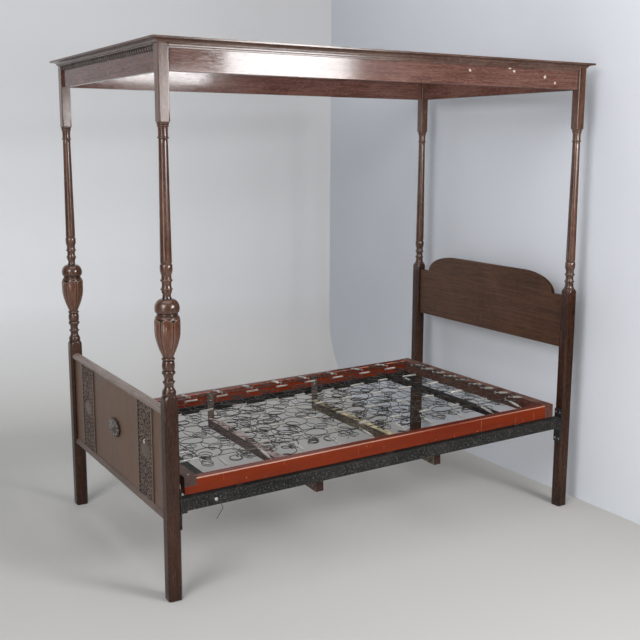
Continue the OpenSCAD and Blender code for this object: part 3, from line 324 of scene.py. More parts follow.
size = reckon(g, "MULTIPLY", reckon(g, "POWER", chance[0], 3.0), 0.085)
speck = reckon(g, "LESS_THAN", specks["Distance"], size)
speck = reckon(g, "MULTIPLY", speck, reckon(g, "GREATER_THAN", w_in["Knocks"], chance[1]))
g.links.new(speck, w_out["Knock"])
skew = put(g, "Mapping", None, Vector=w_in["Vector"], Rotation=(0.5, 0.9, 0.3),
           Scale=(1, 1, 0.06)).outputs[0]
line = noise(g, skew, 120.0, 2.0)
g.links.new(spread(g, line, 0.70, 0.76), w_out["Scratch"])

GRAIN_TURN = {"Z": (0, 0, 0), "X": (0, math.pi / 2, 0), "Y": (math.pi / 2, 0, 0)}


def stained_oak(name, along, ground, figure, pale, band=0.3, pale_share=0.3, roughness=0.34,
                shift=(0, 0, 0), arris=0.0035, wear_and_highlight=(0.26, 0.18, 0.14, 1), knocks=0.3, relief=False,
                sheen=0.45, painted_shade_below=None, grit=0.35, warm=None, chips=(),
                dusty=False):
    """Dark stained and waxed oak whose grain runs along an axis of the bed. Below the height given
    for painted shade it is darker and not waxed, between the heights in warm it is redder, and
    chips are pale bruises. With relief, a carving gets painted shade in its hollows and a painted
    highlight with wear on its proudest tops."""
    material, tree, shader = new_finish(name)
    place = at_rest(tree)
    turned = put(tree, "Mapping", None, Vector=place, Rotation=GRAIN_TURN[along],
                 Location=shift).outputs[0]
    grain = put(tree, "Group", {"node_tree": grain_group}, Vector=turned, Ground=ground,
                Figure=figure,
                Pale=pale, Band=band, Pale_share=pale_share).outputs
    wear = put(tree, "Group", {"node_tree": wear_group}, Vector=place, Arris=arris,
               Knocks=knocks).outputs
    tone = grain["Color"]
    if painted_shade_below:
        # painted shade: the wood is darker below the given height
        up = part(tree, place, 2)
        tone = blend_colours(tree, spread(tree, up, painted_shade_below + 0.15, painted_shade_below - 0.1), tone,
                             blend_colours(tree, 1.0, tone, (0.42, 0.38, 0.34, 1), "MULTIPLY"))
        tree.links.new(spread(tree, up, painted_shade_below - 0.06, painted_shade_below, 0.0, 0.8),
                       shader.inputs["Coat Weight"])
        set_shader(shader, Coat_Roughness=0.2)
    if warm:
        cup = reckon(tree, "MULTIPLY", spread(tree, up, warm[0], warm[0] + 0.012),
                     spread(tree, up, warm[1] + 0.012, warm[1]))
        tone = blend_colours(tree, reckon(tree, "MULTIPLY", cup, 0.4), tone,
                             (0.17, 0.055, 0.022, 1))
    tone = blend_colours(tree, reckon(tree, "MULTIPLY", wear["Scratch"], 0.25), tone, wear_and_highlight)
    tone = blend_colours(tree, reckon(tree, "MULTIPLY", wear["Arris"], 0.5), tone, wear_and_highlight)
    if relief:
        # painted shade near black in a carving's hollows, and on its proudest tops the worn colour
        # as a painted highlight with some wear
        depth = put(tree, "Attribute", {"attribute_name": "relief"}).outputs["Fac"]
        tone = blend_colours(tree, spread(tree, depth, 0.58, 0.08, 0.0, 0.95), tone,
                             (0.006, 0.004, 0.003, 1))
        tone = blend_colours(tree, spread(tree, depth, 0.74, 0.98, 0.0, 0.8), tone, wear_and_highlight)
    tone = blend_colours(tree, wear["Knock"], tone, (0.58, 0.50, 0.42, 1))
    if chips:                                     # bare wood where the face was bruised
        torn = put(tree, "TexNoise", None, Vector=place, Scale=95.0, Detail=4.0,
                   Roughness=0.75).outputs[1]
        torn = put(tree, "VectorMath", {"operation": "SCALE"}, _0=torn, Scale=0.022).outputs[0]
        torn = put(tree, "VectorMath", {"operation": "ADD"}, _0=place, _1=torn).outputs[0]
    for (x, y, z), wide in chips:
        away = put(tree, "VectorMath", {"operation": "DISTANCE"}, _0=torn,
                   _1=(x + 0.011, y + 0.011, z + 0.011))
        tone = blend_colours(tree, spread(tree, away.outputs["Value"], wide, wide * 0.75), tone,
                             (0.62, 0.55, 0.47, 1))
    dull = reckon(tree, "ADD", reckon(tree, "ADD", grain["Roughness"], roughness),
                  reckon(tree, "MULTIPLY", wear["Arris"], 0.12))
    if dusty:
        level = looks_along(tree, 2)
        level = spread(tree, level, 0.85, 0.97)
        dull = reckon(tree, "ADD", dull, reckon(tree, "MULTIPLY", level, 0.5))
        tone = blend_colours(tree, reckon(tree, "MULTIPLY", level, 0.4), tone,
                             (0.20, 0.17, 0.15, 1))
    tree.links.new(tone, shader.inputs["Base Color"])
    tree.links.new(dull, shader.inputs["Roughness"])
    bump = put(tree, "Bump", None, Strength=grit, Distance=0.0006, Height=grain["Height"])
    tree.links.new(bump.outputs[0], shader.inputs["Normal"])
    set_shader(shader, Specular_IOR_Level=sheen)
    return material


def bead(z, h, r0, r1):
    """Half-round bead, h high, that swells from r0 to r1."""
    return [(r0 + (r1 - r0) * math.cos(a), z + h * (1 + math.sin(a)) / 2)
            for a in np.linspace(-math.pi / 2, math.pi / 2, 11)]


def cove(z, h, ra, rb, rc):
    """Hollow, h high, between radii ra and rb and drawn in to rc."""
    return [(ra + (rb - ra) * t - ((ra + rb) / 2 - rc) * math.sin(math.pi * t), z + h * t)
            for t in np.linspace(0, 1, 11)]


def rings_and_shaft(z):
    """Two rings, a collar, the tapered shaft, and the ring, neck and beads under the block."""
    return ([(neck_r + 1.5, z)] + bead(z + 8, 7, neck_r + 1.5, ring_r)
            + cove(z + 16, 23, neck_r + 2, neck_r + 2, neck_r) + bead(z + 40, 7, neck_r + 2, ring_r)
            + cove(z + 48, 23, neck_r + 2, ring_r - 1.5, neck_r + 1)
            + [(ring_r - 1.2, z + 72.5), (ring_r, z + 74.5), (ring_r, z + 98),
               (ring_r - 1.2, z + 100)]
            + [(shaft_low_r - 1.5, z + 101), (shaft_low_r - 1.5, z + 104), (shaft_low_r, z + 106)]
            + [(shaft_low_r + (shaft_top_r - shaft_low_r) * t,
                z + 106 + (block_bottom - 58 - z - 106) * t)
               for t in np.linspace(0.02, 1, 24)]
            + bead(block_bottom - 57, 8, shaft_top_r - 0.5, shaft_top_r + 4)
            + [(shaft_top_r + 0.8, block_bottom - 48), (shaft_top_r + 0.7, block_bottom - 34),
               (shaft_top_r + 1.3, block_bottom - 20), (shaft_top_r + 1.5, block_bottom - 18)]
            + bead(block_bottom - 17, 8, shaft_top_r + 0.5, block_side / 2 + 1.2)
            + bead(block_bottom - 9, 9, shaft_top_r + 1, block_side / 2 + 2.6))


def mark_relief(piece, values):
    """Keeps a value for each point, low where a carving or turning lies deep and high where it
    stands proud, which its finish turns into painted shade and painted highlight.
    """
    piece.data.attributes.new("relief", "FLOAT", "POINT").data.foreach_set("value", values)


cup_z = foot_leg_top + 142
cover_z = cup_z + bulb_h
foot_turning = (
    bead(foot_leg_top, 22, ring_r, leg_side / 2 - 1.5)
    + cove(foot_leg_top + 22, 26, ring_r, neck_r + 3, neck_r)
    + bead(foot_leg_top + 48, 8, neck_r + 2, ring_r + 0.5)
    + cove(foot_leg_top + 56, 24, neck_r + 1, neck_r + 4, neck_r)
    + bead(foot_leg_top + 80, 13, neck_r + 4, leg_side / 2 - 2)
    + bead(foot_leg_top + 94, 36, neck_r + 2.5, ring_r + 1)
    + bead(foot_leg_top + 132, 10, neck_r + 2.5, ring_r + 2)
    + [(neck_r + 1.5 + (bulb_r - neck_r) * math.sin(math.radians(min(90, 132 * t)))
        - 5 * (max(0, t - 0.93) / 0.07) ** 2, cup_z + bulb_h * t) for t in np.linspace(0, 1, 90)]
    + bead(cover_z, 5.5, bulb_r - 9, bulb_r - 5.5) + bead(cover_z + 6, 5, bulb_r - 9, bulb_r - 6.5)
    + [(bulb_r - 9, cover_z + 11.5), (bulb_r - 4, cover_z + 13.5)]
    + [(bulb_r - 4 + 4 * math.sin(a), cover_z + 29 - 15 * math.cos(a))
       for a in np.linspace(0.3, math.pi / 2, 7)]
    + [(neck_r + (bulb_r - neck_r) * math.cos(a), cover_z + 29 + (dome_h - 29) * math.sin(a))
       for a in np.linspace(0.08, math.pi / 2, 16)]
    + cove(cover_z + dome_h, 22, neck_r + 0.5, neck_r, neck_r - 2)
    + rings_and_shaft(cover_z + dome_h + 22))
head_turning = (cove(head_leg_top, 24, leg_side / 2 - 2, neck_r + 2, neck_r + 3)
                + rings_and_shaft(head_leg_top + 24))
post_angles = np.radians(np.arange(0, 360, 2.0))


def square_reach(side, chamfer, ease):
    """Distance from the middle to a chamfered square's surface at each angle, arrises eased."""
    c, s = np.abs(np.cos(post_angles)), np.abs(np.sin(post_angles))
    faces = np.stack([side / 2 / np.maximum(c, 1e-3), side / 2 / np.maximum(s, 1e-3),
                      (side - chamfer) / (c + s)])
    return -ease * np.log(np.exp(-faces / ease).sum(0))


def ease_in(x):
    """0 to 1 with soft ends."""
    x = np.clip(x, 0, 1)
    return x * x * (3 - 2 * x)


def leaf_cut(t):
    """Cup carving at each angle, t up its height: (depth, relief).

    Six arched leaves, each sunk in its own rim. The relief is painted shade, darkest in the sunk
    ground and in an arc under each leaf's arched head, and a painted highlight along the rims.
    """
    off = np.abs((np.degrees(post_angles) + 24 + 30) % 60 - 30)
    q = np.hypot(off / 20.5, max(0.0, t - 0.84) / 0.085)
    thumb = ease_in(np.array((t - 0.70) / 0.14)) * (1 - off / 40)
    vein = 0.7 * ease_in((0.30 - off / 20.5) / 0.3) * (t < 0.8)
    panel = ease_in((1.0 - q) / 0.12) * (1.5 + 1.6 * thumb - vein)
    field = ease_in((q - 1.34) / 0.1)
    ends = ease_in(np.array(t / 0.07)) * ease_in(np.array((0.975 - t) / 0.02))
    depth = np.maximum(panel, field * (3.0 if t < 0.86 else 2.4)) * ends
    rim = 0.12 * ease_in((0.12 - np.abs(q - 1.17)) / 0.08)
    relief = 0.72 + rim - 0.74 * field - 0.16 * ease_in((1 - q) / 0.1)
    relief -= 0.25 * ease_in(0.5 - np.abs(q - 0.93) * 5) * (t > 0.72)
    return depth, 0.7 + (relief - 0.7) * ends


def turned_post(name, sx, sy, leg_top, turning, finish, carved):
    """One post as rings of points, from the floor to the top of the block."""
    leg, block = square_reach(leg_side, leg_chamfer, 0.5), square_reach(block_side, 1.5, 0.4)
    shoulder_z, shoulder_r = [32.4, 24, 18, 12, 7, 3, 0.1], [54, 44.5, 38.5, 33.5, 30.6, 28.6, 27]
    rows = [(0.0, leg - 3), (1.5, leg - 0.8), (4.0, leg)]
    rows += [(z, leg) for z in np.linspace(40, leg_top - 40, 14)]
    rows += [(leg_top - d, np.minimum(leg, r)) for d, r in zip(shoulder_z, shoulder_r)]
    for r, z in turning:
        depth = leaf_cut((z - cup_z) / bulb_h)[0] if carved and cup_z <= z < cover_z else 0.0
        rows.append((z, np.full(len(post_angles), r) - depth))
    rows += [(block_bottom, block - 1.0), (block_bottom + 1.0, block)]
    rows += [(z, block) for z in np.linspace(block_bottom + 40, post_top - 20, 6)]
    rows += [(post_top - 1, block), (post_top, block - 1.0)]
    n, m = len(rows), len(post_angles)
    verts = np.zeros((n * m, 3))
    mean_r = np.array([np.mean(reach) for _, reach in rows])
    row_z = np.array([z for z, _ in rows])
    shade = np.full(n * m, 0.68)
    for k, (z, reach) in enumerate(rows):
        verts[k * m:(k + 1) * m, 0] = sx * post_x + reach * np.cos(post_angles)
        verts[k * m:(k + 1) * m, 1] = sy * post_y + reach * np.sin(post_angles)
        verts[k * m:(k + 1) * m, 2] = z
        if leg_top - 2 < z < block_bottom:        # painted shade in the hollows of the turning
            swell = mean_r[k] - np.interp(np.linspace(z - 10, z + 10, 21), row_z, mean_r).mean()
            shade[k * m:(k + 1) * m] = np.clip(0.68 + swell * 0.15, 0.10, 0.73)
        if carved and cup_z + 1 <= z < cover_z - 4:
            shade[k * m:(k + 1) * m] = leaf_cut((z - cup_z) / bulb_h)[1]
    faces = [(k * m + j, k * m + (j + 1) % m, (k + 1) * m + (j + 1) % m, (k + 1) * m + j)
             for k in range(n - 1) for j in range(m)]
    faces += [tuple(range(m - 1, -1, -1)), tuple(range((n - 1) * m, n * m))]
    obj = add_mesh(name, verts * mm, faces, finish, crisp=38)
    mark_relief(obj, shade)
    return obj


for at, (sx, sy) in {"foot_post_left": (-1, -1), "foot_post_right": (1, -1),
                     "head_post_left": (-1, 1), "head_post_right": (1, 1)}.items():
    carved = sy < 0
    oak = stained_oak("oak_" + at, "Z", (0.030, 0.012, 0.007, 1), (0.125, 0.050, 0.029, 1),
                      (0.26, 0.15, 0.11, 1), shift=(sx * 1.7, sy * 0.9, 0.3), pale_share=0.3,
                      relief=True, sheen=0.3, roughness=0.24, wear_and_highlight=(0.34, 0.24, 0.19, 1), grit=0.18,
                      painted_shade_below=0.80 if carved else 1.05, warm=(0.93, 1.07) if carved else None)
    post = turned_post(at + "_turned", sx, sy, foot_leg_top if carved else head_leg_top,
                       foot_turning if carved else head_turning, oak, carved)
    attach(post, "bedstead")
    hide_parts(at)


# ---------------------------------------------------------------- Foot panel
# A plain oak panel between the foot posts, with a rubbed cap along its top and a
# stepped reeded moulding planted along its bottom edge.
def dress(node, finish, arris=0.0012, turns=2):
    """Keeps a solid's own shape, eases its arrises by a plane's width and gives it its finish."""
    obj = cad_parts[node]
    obj.data.materials.clear()
    obj.data.materials.append(finish)
    weld = obj.modifiers.new("weld", "WELD")
    weld.merge_threshold = 0.00002
    plane = obj.modifiers.new("plane", "DECIMATE")
    plane.decimate_type, plane.angle_limit = "DISSOLVE", math.radians(1.0)
    if arris:
        ease = obj.modifiers.new("ease", "BEVEL")
        ease.width, ease.segments, ease.limit_method = arris, turns, "ANGLE"
        ease.angle_limit, ease.harden_normals = math.radians(32), True
    even = obj.modifiers.new("even", "WEIGHTED_NORMAL")
    even.keep_sharp = True
    return obj


panel_oak = stained_oak("panel_oak", "Z", (0.105, 0.058, 0.038, 1), (0.175, 0.105, 0.072, 1),
                        (0.22, 0.115, 0.070, 1), band=0.08, pale_share=0.5, roughness=0.36,
                        knocks=0.06,
                        sheen=0.35, grit=0.2)
rubbed_oak = stained_oak("rubbed_oak", "X", (0.13, 0.093, 0.078, 1), (0.32, 0.255, 0.225, 1),
                         (0.40, 0.33, 0.31, 1), band=0.15, pale_share=0.8, roughness=0.42,
                         arris=0.006,
                         wear_and_highlight=(0.46, 0.38, 0.35, 1), knocks=0.5, sheen=0.5)
dress("foot_panel", panel_oak, 0.0015)
dress("foot_cap", rubbed_oak, 0.0020, 3)
moulded_oak = stained_oak("moulded_oak", "X", (0.075, 0.046, 0.036, 1), (0.16, 0.105, 0.085, 1),
                          (0.24, 0.17, 0.14, 1), band=0.15, pale_share=0.5, roughness=0.40,
                          arris=0.004,
                          wear_and_highlight=(0.46, 0.38, 0.35, 1), knocks=0.5, sheen=0.4)
dress("foot_moulding", moulded_oak, 0.0012, 2)


# ---------------------------------------------------------------- Carved strips
# Two upright oak strips, glued on the face of the foot panel and carved with a
# running stem of scrolled leaves round a plain oval.
def raised_sheet(heights, x, y, z, width, tall, base):
    """A slab whose face (towards -Y) follows a table of heights; its sides and back are closed."""
    rows, cols = heights.shape
    xs, zs = np.linspace(-width / 2, width / 2, cols), np.linspace(0, tall, rows)
    gx, gz = np.meshgrid(xs, zs)
    front = np.stack([x + gx, y - heights, z + gz], -1).reshape(-1, 3)
    back = np.stack([x + gx, np.full(gx.shape, y - base), z + gz], -1).reshape(-1, 3)
    faces = [(r * cols + c, r * cols + c + 1, (r + 1) * cols + c + 1, (r + 1) * cols + c)
             for r in range(rows - 1) for c in range(cols - 1)]
    rim = ([c for c in range(cols)] + [r * cols + cols - 1 for r in range(1, rows)]
           + [(rows - 1) * cols + c for c in range(cols - 2, -1, -1)]
           + [r * cols for r in range(rows - 2, 0, -1)])
    edge = len(front) + np.arange(len(rim))
    verts = np.concatenate([front, back[rim]])
    faces += [(rim[k], int(edge[k]), int(edge[(k + 1) % len(rim)]), rim[(k + 1) % len(rim)])
              for k in range(len(rim))]
    faces.append(tuple(int(e) for e in edge))
    return verts, faces


oval_half, rim_wide, scroll_r = (43.0, 27.5), 8.5, 23.5


def foliage(rows, cols, width, tall):
    """Heights of the carving in millimetres: pairs of scrolls with leaves, and an oval half way."""
    xs, zs = np.linspace(-width / 2, width / 2, cols), np.linspace(0, tall, rows)
    h = 0.9 + 0.3 * np.sin(xs[None, :] * 1.5) * np.sin(zs[:, None] * 1.5)

    def stroke(path, half, high, rib=0.0):
        path, half = np.asarray(path, float), np.broadcast_to(half, len(path))
        reach = half.max() + 1
        i0, i1 = np.searchsorted(xs, [path[:, 0].min() - reach, path[:, 0].max() + reach])
        k0, k1 = np.searchsorted(zs, [path[:, 1].min() - reach, path[:, 1].max() + reach])
        if i1 <= i0 or k1 <= k0:
            return
        q = np.hypot(xs[None, i0:i1, None] - path[:, 0], zs[k0:k1, None, None] - path[:, 1]) / half
        q = q.min(-1)
        ridge = high * np.sqrt(np.clip(1 - q * q, 0, 1)) - rib * np.clip(1 - q / 0.3, 0, 1)
        h[k0:k1, i0:i1] = np.maximum(h[k0:k1, i0:i1], np.where(q < 1, 0.6 + ridge, 0))

    def leaf(root, way, length, bend, half=4.2):
        t = np.linspace(0, 1, 15)
        a = way + bend * t
        step = length / 14
        path = np.stack([root[0] + np.cumsum(np.cos(a)) * step,
                         root[1] + np.cumsum(np.sin(a)) * step], -1)
        stroke(path, 0.6 + half * np.sin(math.pi * np.clip(t, 0.02, 0.98) ** 0.75), 4.3, 1.5)

    step = tall / 7
    for level in range(7):
        up = step * (level + 0.5)
        lift = 1 if level % 2 else -1
        for side in (-1, 1):
            centre = np.array([side * 33.0, up])
            a = np.linspace(0, 2 * math.pi * 1.55, 70)
            r = scroll_r * (1 - a / (2 * math.pi * 1.95))
            turn = math.pi / 2 * (1 - side) + side * lift * (a - 2.4)
            stroke(np.stack([centre[0] + r * np.cos(turn), centre[1] + r * np.sin(turn)], -1),
                   np.linspace(3.3, 2.2, 70), 4.7, 0.9)
            stroke([centre], 5.0, 5.0, 1.2)
            for k in range(9):
                way = math.pi / 2 * (1 - side) + side * lift * (-1.9 + k * 0.55)
                root = centre + (scroll_r + 1) * np.array([math.cos(way), math.sin(way)])
                leaf(root, way - side * lift * 0.3, 12.5, side * lift * 0.9, 3.6)
            leaf((side * 8, up - lift * 16), math.pi / 2 * lift + side * lift * 0.2, 26,
                 -side * lift)
            leaf((side * 62, up + step / 2 - 2), math.pi / 2 + side * 0.9, 15, side * 0.7, 3.4)
            leaf((side * 62, up + step / 2 + 2), -math.pi / 2 - side * 0.9, 15, -side * 0.7, 3.4)
        for tilt in (-0.75, 0.0, 0.75):
            leaf((0, up + step / 2 - 9), math.pi / 2 + tilt, 20 - 4 * abs(tilt), -tilt * 0.6, 3.9)
        stroke([(0, up + step / 2 - 9)], 4.0, 5.0)
    oval = np.hypot(xs[None, :] / oval_half[0], (zs[:, None] - tall / 2) / oval_half[1])
    h = np.where(oval < 1.16, np.minimum(h, 0.9), h)
    h = np.where(np.abs(oval - 1.085) < 0.055, 3.6, h)
    h = np.where(oval < 1.0, 3.1 + 1.6 * np.sqrt(np.clip(1 - oval ** 2, 0, 1)), h)
    from_edge = (width / 2 - np.abs(xs))[None, :] + np.zeros_like(h)
    h = np.where(from_edge < rim_wide, np.where(from_edge < 6.0, 5.7, 1.2), h)
    h = np.where(from_edge < 0.7, 4.8, h)
    return np.clip(h, 0.5, 5.9)


strip_wide, strip_tall, strip_low, strip_at = 155.0, 379.6, 332.2, 352.0
panel_face = -991.2
heights = foliage(345, 141, strip_wide, strip_tall)
for at, side in (("foot_carving_left", -1), ("foot_carving_right", 1)):
    verts, faces = raised_sheet(heights, side * strip_at, panel_face, strip_low, strip_wide,
                                strip_tall, 0.0)
    carving_oak = stained_oak("oak_" + at, "Z", (0.110, 0.070, 0.052, 1), (0.190, 0.130, 0.102, 1),
                              (0.32, 0.25, 0.21, 1), shift=(side, 0, 2.0), pale_share=0.3,
                              roughness=0.30,
                              wear_and_highlight=(0.56, 0.48, 0.43, 1), relief=True, arris=0.0012, knocks=0.35,
                              sheen=0.35,
                              chips=() if side < 0 else [((0.339, -0.996, 0.555), 0.010)])
    strip = add_mesh(at + "_foliage", verts * mm, faces, carving_oak, crisp=60)
    # painted shade and highlight from the carving's height: flanks and hollows darken, the highest
    # points lighten, the plain oval is held darker and the border gets no highlight
    rise = np.clip((panel_face - verts[:, 1] - 1.0) / 4.7, 0, 1) ** 1.6
    across, up = verts[:, 0] - side * strip_at, verts[:, 2] - strip_low - strip_tall / 2
    plain = np.hypot(across / oval_half[0], up / oval_half[1]) < 1
    border = np.abs(across) > strip_wide / 2 - rim_wide - 0.1
    rise = np.where(border, np.minimum(rise, 0.62), rise)
    mark_relief(strip, np.where(plain, 0.40, rise))
    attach(strip, "bedstead")
    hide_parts(at)

# ---------------------------------------------------------------- Rosette
# An oval oak boss glued to the middle of the foot panel: a ring of lobed petals round
# a hipped block, carved in one and polished nearly black.
rosette_wide, rosette_tall, petals = 62.0, 39.5, 12
block_half = (34.0, 20.0)
around, out = np.radians(np.arange(0, 360, 2.0)), np.linspace(0, 1, 40)
verts = []
for t in np.append(out, 1.0):
    lobe = np.abs(np.cos(around * petals / 2))
    reach = t * (0.87 + 0.13 * lobe ** 0.5)
    swell = np.sqrt(np.clip(1 - ((t - 0.72) / 0.32) ** 2, 0, 1))
    bowl = 4.0 + 7.5 * swell * (0.35 + 0.65 * np.sqrt(lobe))
    rise = np.where(t < 0.40, 8.0, bowl)
    x, z = rosette_wide * reach * np.cos(around), rosette_tall * reach * np.sin(around)
    verts.append(np.stack([x, panel_face - rise, z], -1))
verts[-1][:, 1] = panel_face
verts[0] = verts[0] * 0 + np.array([0, panel_face - 8.0, 0])
m = len(around)
faces = [(k * m + j, (k + 1) * m + j, (k + 1) * m + (j + 1) % m, k * m + (j + 1) % m)
         for k in range(1, len(verts) - 1) for j in range(m)]
faces += [(0, m + j, m + (j + 1) % m) for j in range(m)]
faces.append(tuple(range((len(verts) - 1) * m, len(verts) * m))[::-1])
rise = panel_face - np.concatenate(verts)[:, 1]
boss_at = np.array([0, 0, strip_low + strip_tall / 2])
verts = np.concatenate(verts) + boss_at
rosette_oak = stained_oak("rosette_oak", "Z", (0.036, 0.025, 0.020, 1), (0.080, 0.058, 0.047, 1),
                          (0.16, 0.13, 0.11, 1), roughness=0.17, relief=True, arris=0.002,
                          sheen=0.6, wear_and_highlight=(0.34, 0.30, 0.27, 1), knocks=0.2)
rosette = add_mesh("rosette_carved", verts * mm, faces, rosette_oak, crisp=40)
# painted shade low between the petals and a painted highlight on their proudest parts
mark_relief(rosette, np.clip((rise - 4.0) / 7.5, 0, 1) * 0.95)
bx, bz = block_half
block_verts = [(x * sx, panel_face - up, z * sz) for up, x, z in ((4.0, bx, bz), (10.5, bx, bz))
               for sx, sz in ((-1, -1), (1, -1), (1, 1), (-1, 1))]
block_verts += [(-18.0, panel_face - 24.0, 0), (18.0, panel_face - 24.0, 0)]
block_faces = [(3, 2, 1, 0), (0, 1, 5, 4), (1, 2, 6, 5), (2, 3, 7, 6), (3, 0, 4, 7),
               (4, 5, 9, 8), (6, 7, 8, 9), (5, 6, 9), (7, 4, 8)]
hip = add_mesh("rosette_hipped_block", (np.array(block_verts) + boss_at) * mm, block_faces,
               rosette_oak, crisp=25)
mark_relief(hip, np.full(10, 0.7))
ease = hip.modifiers.new("ease", "BEVEL")
ease.width, ease.segments, ease.limit_method = 0.0013, 3, "ANGLE"
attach(hip, "bedstead")
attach(rosette, "bedstead")
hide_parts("rosette")

# ---------------------------------------------------------------- Headboard
# One wide oak board, sawn to an arched top between two flat shoulders and tenoned
# into the head posts. Its arrises are lightly rounded.
board_oak = stained_oak("board_oak", "X", (0.034, 0.013, 0.005, 1), (0.098, 0.039, 0.016, 1),
                        (0.15, 0.072, 0.042, 1), band=0.45, pale_share=0.45, roughness=0.36,
                        arris=0.004,
                        knocks=0.2, sheen=0.3, grit=0.15)
dress("headboard", board_oak, 0.0025, 3)

# ---------------------------------------------------------------- Tester frame
# Four oak frieze boards tenoned between the posts, with mouldings planted under a
# mitred cornice. The foot moulding is carved, the others are plain.
frieze_grain = {
    "frieze_foot": "X", "frieze_head": "X", "frieze_left": "Y", "frieze_right": "Y"}
for k, (node, along) in enumerate(frieze_grain.items()):
    chips = [((0.585, 0.566, 2.005), 0.010), ((0.585, 0.765, 1.972), 0.008),
             ((0.585, 0.353, 1.984), 0.006),
             ((0.585, 0.825, 1.950), 0.006),
             ((0.585, 0.59, 1.990), 0.007)] if node == "frieze_right" else ()
    oak = stained_oak("oak_" + node, along, (0.068, 0.027, 0.021, 1), (0.175, 0.078, 0.061, 1),
                      (0.29, 0.17, 0.14, 1), band=0.25, pale_share=0.4, roughness=0.10,
                      shift=(0.4 * k, 1.1 * k, 0.2), knocks=0.5, sheen=0.5, grit=0.04,
                      chips=chips)
    dress(node, oak, 0.0014)
moulding_oak = {axis: stained_oak("moulding_oak_" + axis, axis, (0.050, 0.024, 0.017, 1),
                                  (0.120, 0.062, 0.046, 1), (0.25, 0.17, 0.14, 1), pale_share=0.4,
                                  roughness=0.17, arris=0.003, sheen=0.5, grit=0.08, dusty=True)
                for axis in "XY"}
for node, along in {"bed_moulding_head": "X", "bed_moulding_left": "Y", "bed_moulding_right": "Y",
                    "cornice_foot": "X", "cornice_head": "X", "cornice_left": "Y",
                    "cornice_right": "Y"}.items():
    dress(node, moulding_oak[along], 0.0010)

# ---------------------------------------------------------------- Gadroon moulding
# The foot's bed moulding is carved with slanting round lobes, each in its own hollow,
# under a narrow plain fillet.
gadroon_box = [np.array(c) * 1000 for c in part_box("gadroon_strip")]
long_mm = gadroon_box[1][0] - gadroon_box[0][0]
tall_mm = gadroon_box[1][2] - gadroon_box[0][2]
deep_mm = gadroon_box[1][1] - gadroon_box[0][1]
pitch = long_mm / round(long_mm / 24.0)
cols, rows = 1500, 26
gx = np.linspace(0, long_mm, cols)[None, :]
gz = np.linspace(0, 1, rows)[:, None]
slant = (gx / pitch + (gz - 0.5) * 0.5) % 1 - 0.5
lobe = np.sqrt(np.clip(1 - (slant / 0.40) ** 2, 0, 1))
round_end = np.sqrt(np.clip(1 - (np.clip(0.25 - gz, 0, 1) / 0.25) ** 2, 0, 1))
heights = 0.22 + 0.70 * lobe * round_end * (0.7 + 0.3 * np.sin(np.clip(gz / 0.8, 0, 1) * math.pi))
heights = deep_mm * np.where(gz < 0.80, heights, np.where(gz < 0.86, 0.45, 1.0) + 0 * gx)
verts, faces = raised_sheet(heights, 0.0, gadroon_box[1][1], gadroon_box[0][2], long_mm, tall_mm,
                            0.0)
gadroon_oak = stained_oak("gadroon_oak", "X", (0.024, 0.014, 0.010, 1), (0.055, 0.034, 0.026, 1),
                          (0.17, 0.13, 0.11, 1), roughness=0.27, relief=True, arris=0.0012,
                          sheen=0.5,
                          wear_and_highlight=(0.40, 0.33, 0.29, 1))
gadroon = add_mesh("gadroon_carved", verts * mm, faces, gadroon_oak, crisp=45)
# painted shade in the hollows between the lobes and a painted highlight on their tops
mark_relief(gadroon, np.clip((gadroon_box[1][1] - verts[:, 1]) / deep_mm, 0, 1) * 0.95)
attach(gadroon, "tester")
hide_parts("gadroon_strip")


# ---------------------------------------------------------------- Brackets and irons
# Black painted iron: socket brackets screwed to the legs, hooked end plates, angle
# irons along the sides and across the ends. The paint is thin and speckled with rust.
def metal_finish(name, colour, second, spots, share, roughness, metallic, bump=0.3, scale=90.0,
                 sheen=0.3):
    """Painted, plated or rusty metal: two clouded tones and spots that break through."""
    material, tree, shader = new_finish(name)
    place = at_rest(tree)
    cloud = noise(tree, place, 9.0, 5.0, 0.65)
    grit = noise(tree, place, scale, 6.0, 0.75)
    wear = put(tree, "Group", {"node_tree": wear_group}, Vector=place, Arris=0.0015,
               Knocks=0.25).outputs
    tone = blend_colours(tree, spread(tree, cloud, 0.35, 0.7), colour, second)
    spot = spread(tree, grit, 0.62 - 0.12 * share, 0.68)
    tone = blend_colours(tree, reckon(tree, "MULTIPLY", spot, share), tone, spots)
    tone = blend_colours(tree, reckon(tree, "MULTIPLY", wear["Arris"], 0.5), tone, spots)
    tree.links.new(tone, shader.inputs["Base Color"])
    tree.links.new(spread(tree, grit, 0.3, 0.75, roughness - 0.08, roughness + 0.2),
                   shader.inputs["Roughness"])
    tree.links.new(put(tree, "Bump", None, Strength=bump, Distance=0.0006, Height=grit).outputs[0],
                   shader.inputs["Normal"])
    set_shader(shader, Metallic=metallic, Specular_IOR_Level=sheen)
    return material


black_iron = metal_finish("black_iron_paint", (0.008, 0.009, 0.010, 1), (0.026, 0.025, 0.024, 1),
                          (0.26, 0.24, 0.21, 1), 0.7, 0.40, 0.0, 0.6, 150.0, 0.15)
rusty_iron = metal_finish("rusty_strap", (0.13, 0.10, 0.085, 1), (0.20, 0.16, 0.14, 1),
                          (0.10, 0.045, 0.025, 1), 0.7, 0.55, 0.3, 0.4, 70.0)
bright_zinc = metal_finish("zinc_plate", (0.42, 0.41, 0.38, 1), (0.56, 0.55, 0.52, 1),
                           (0.16, 0.12, 0.09, 1), 0.4, 0.32, 0.75, 0.15, 240.0)
tree = rusty_iron.node_tree              # the straps' outer faces are stained like the laths' ends
shader = tree.nodes["Principled BSDF"]
sideways = part(tree, at_rest(tree), 0)
facing = looks_along(tree, 0)
outwards = spread(tree, reckon(tree, "MULTIPLY", sideways, facing), 0.1, 0.3)
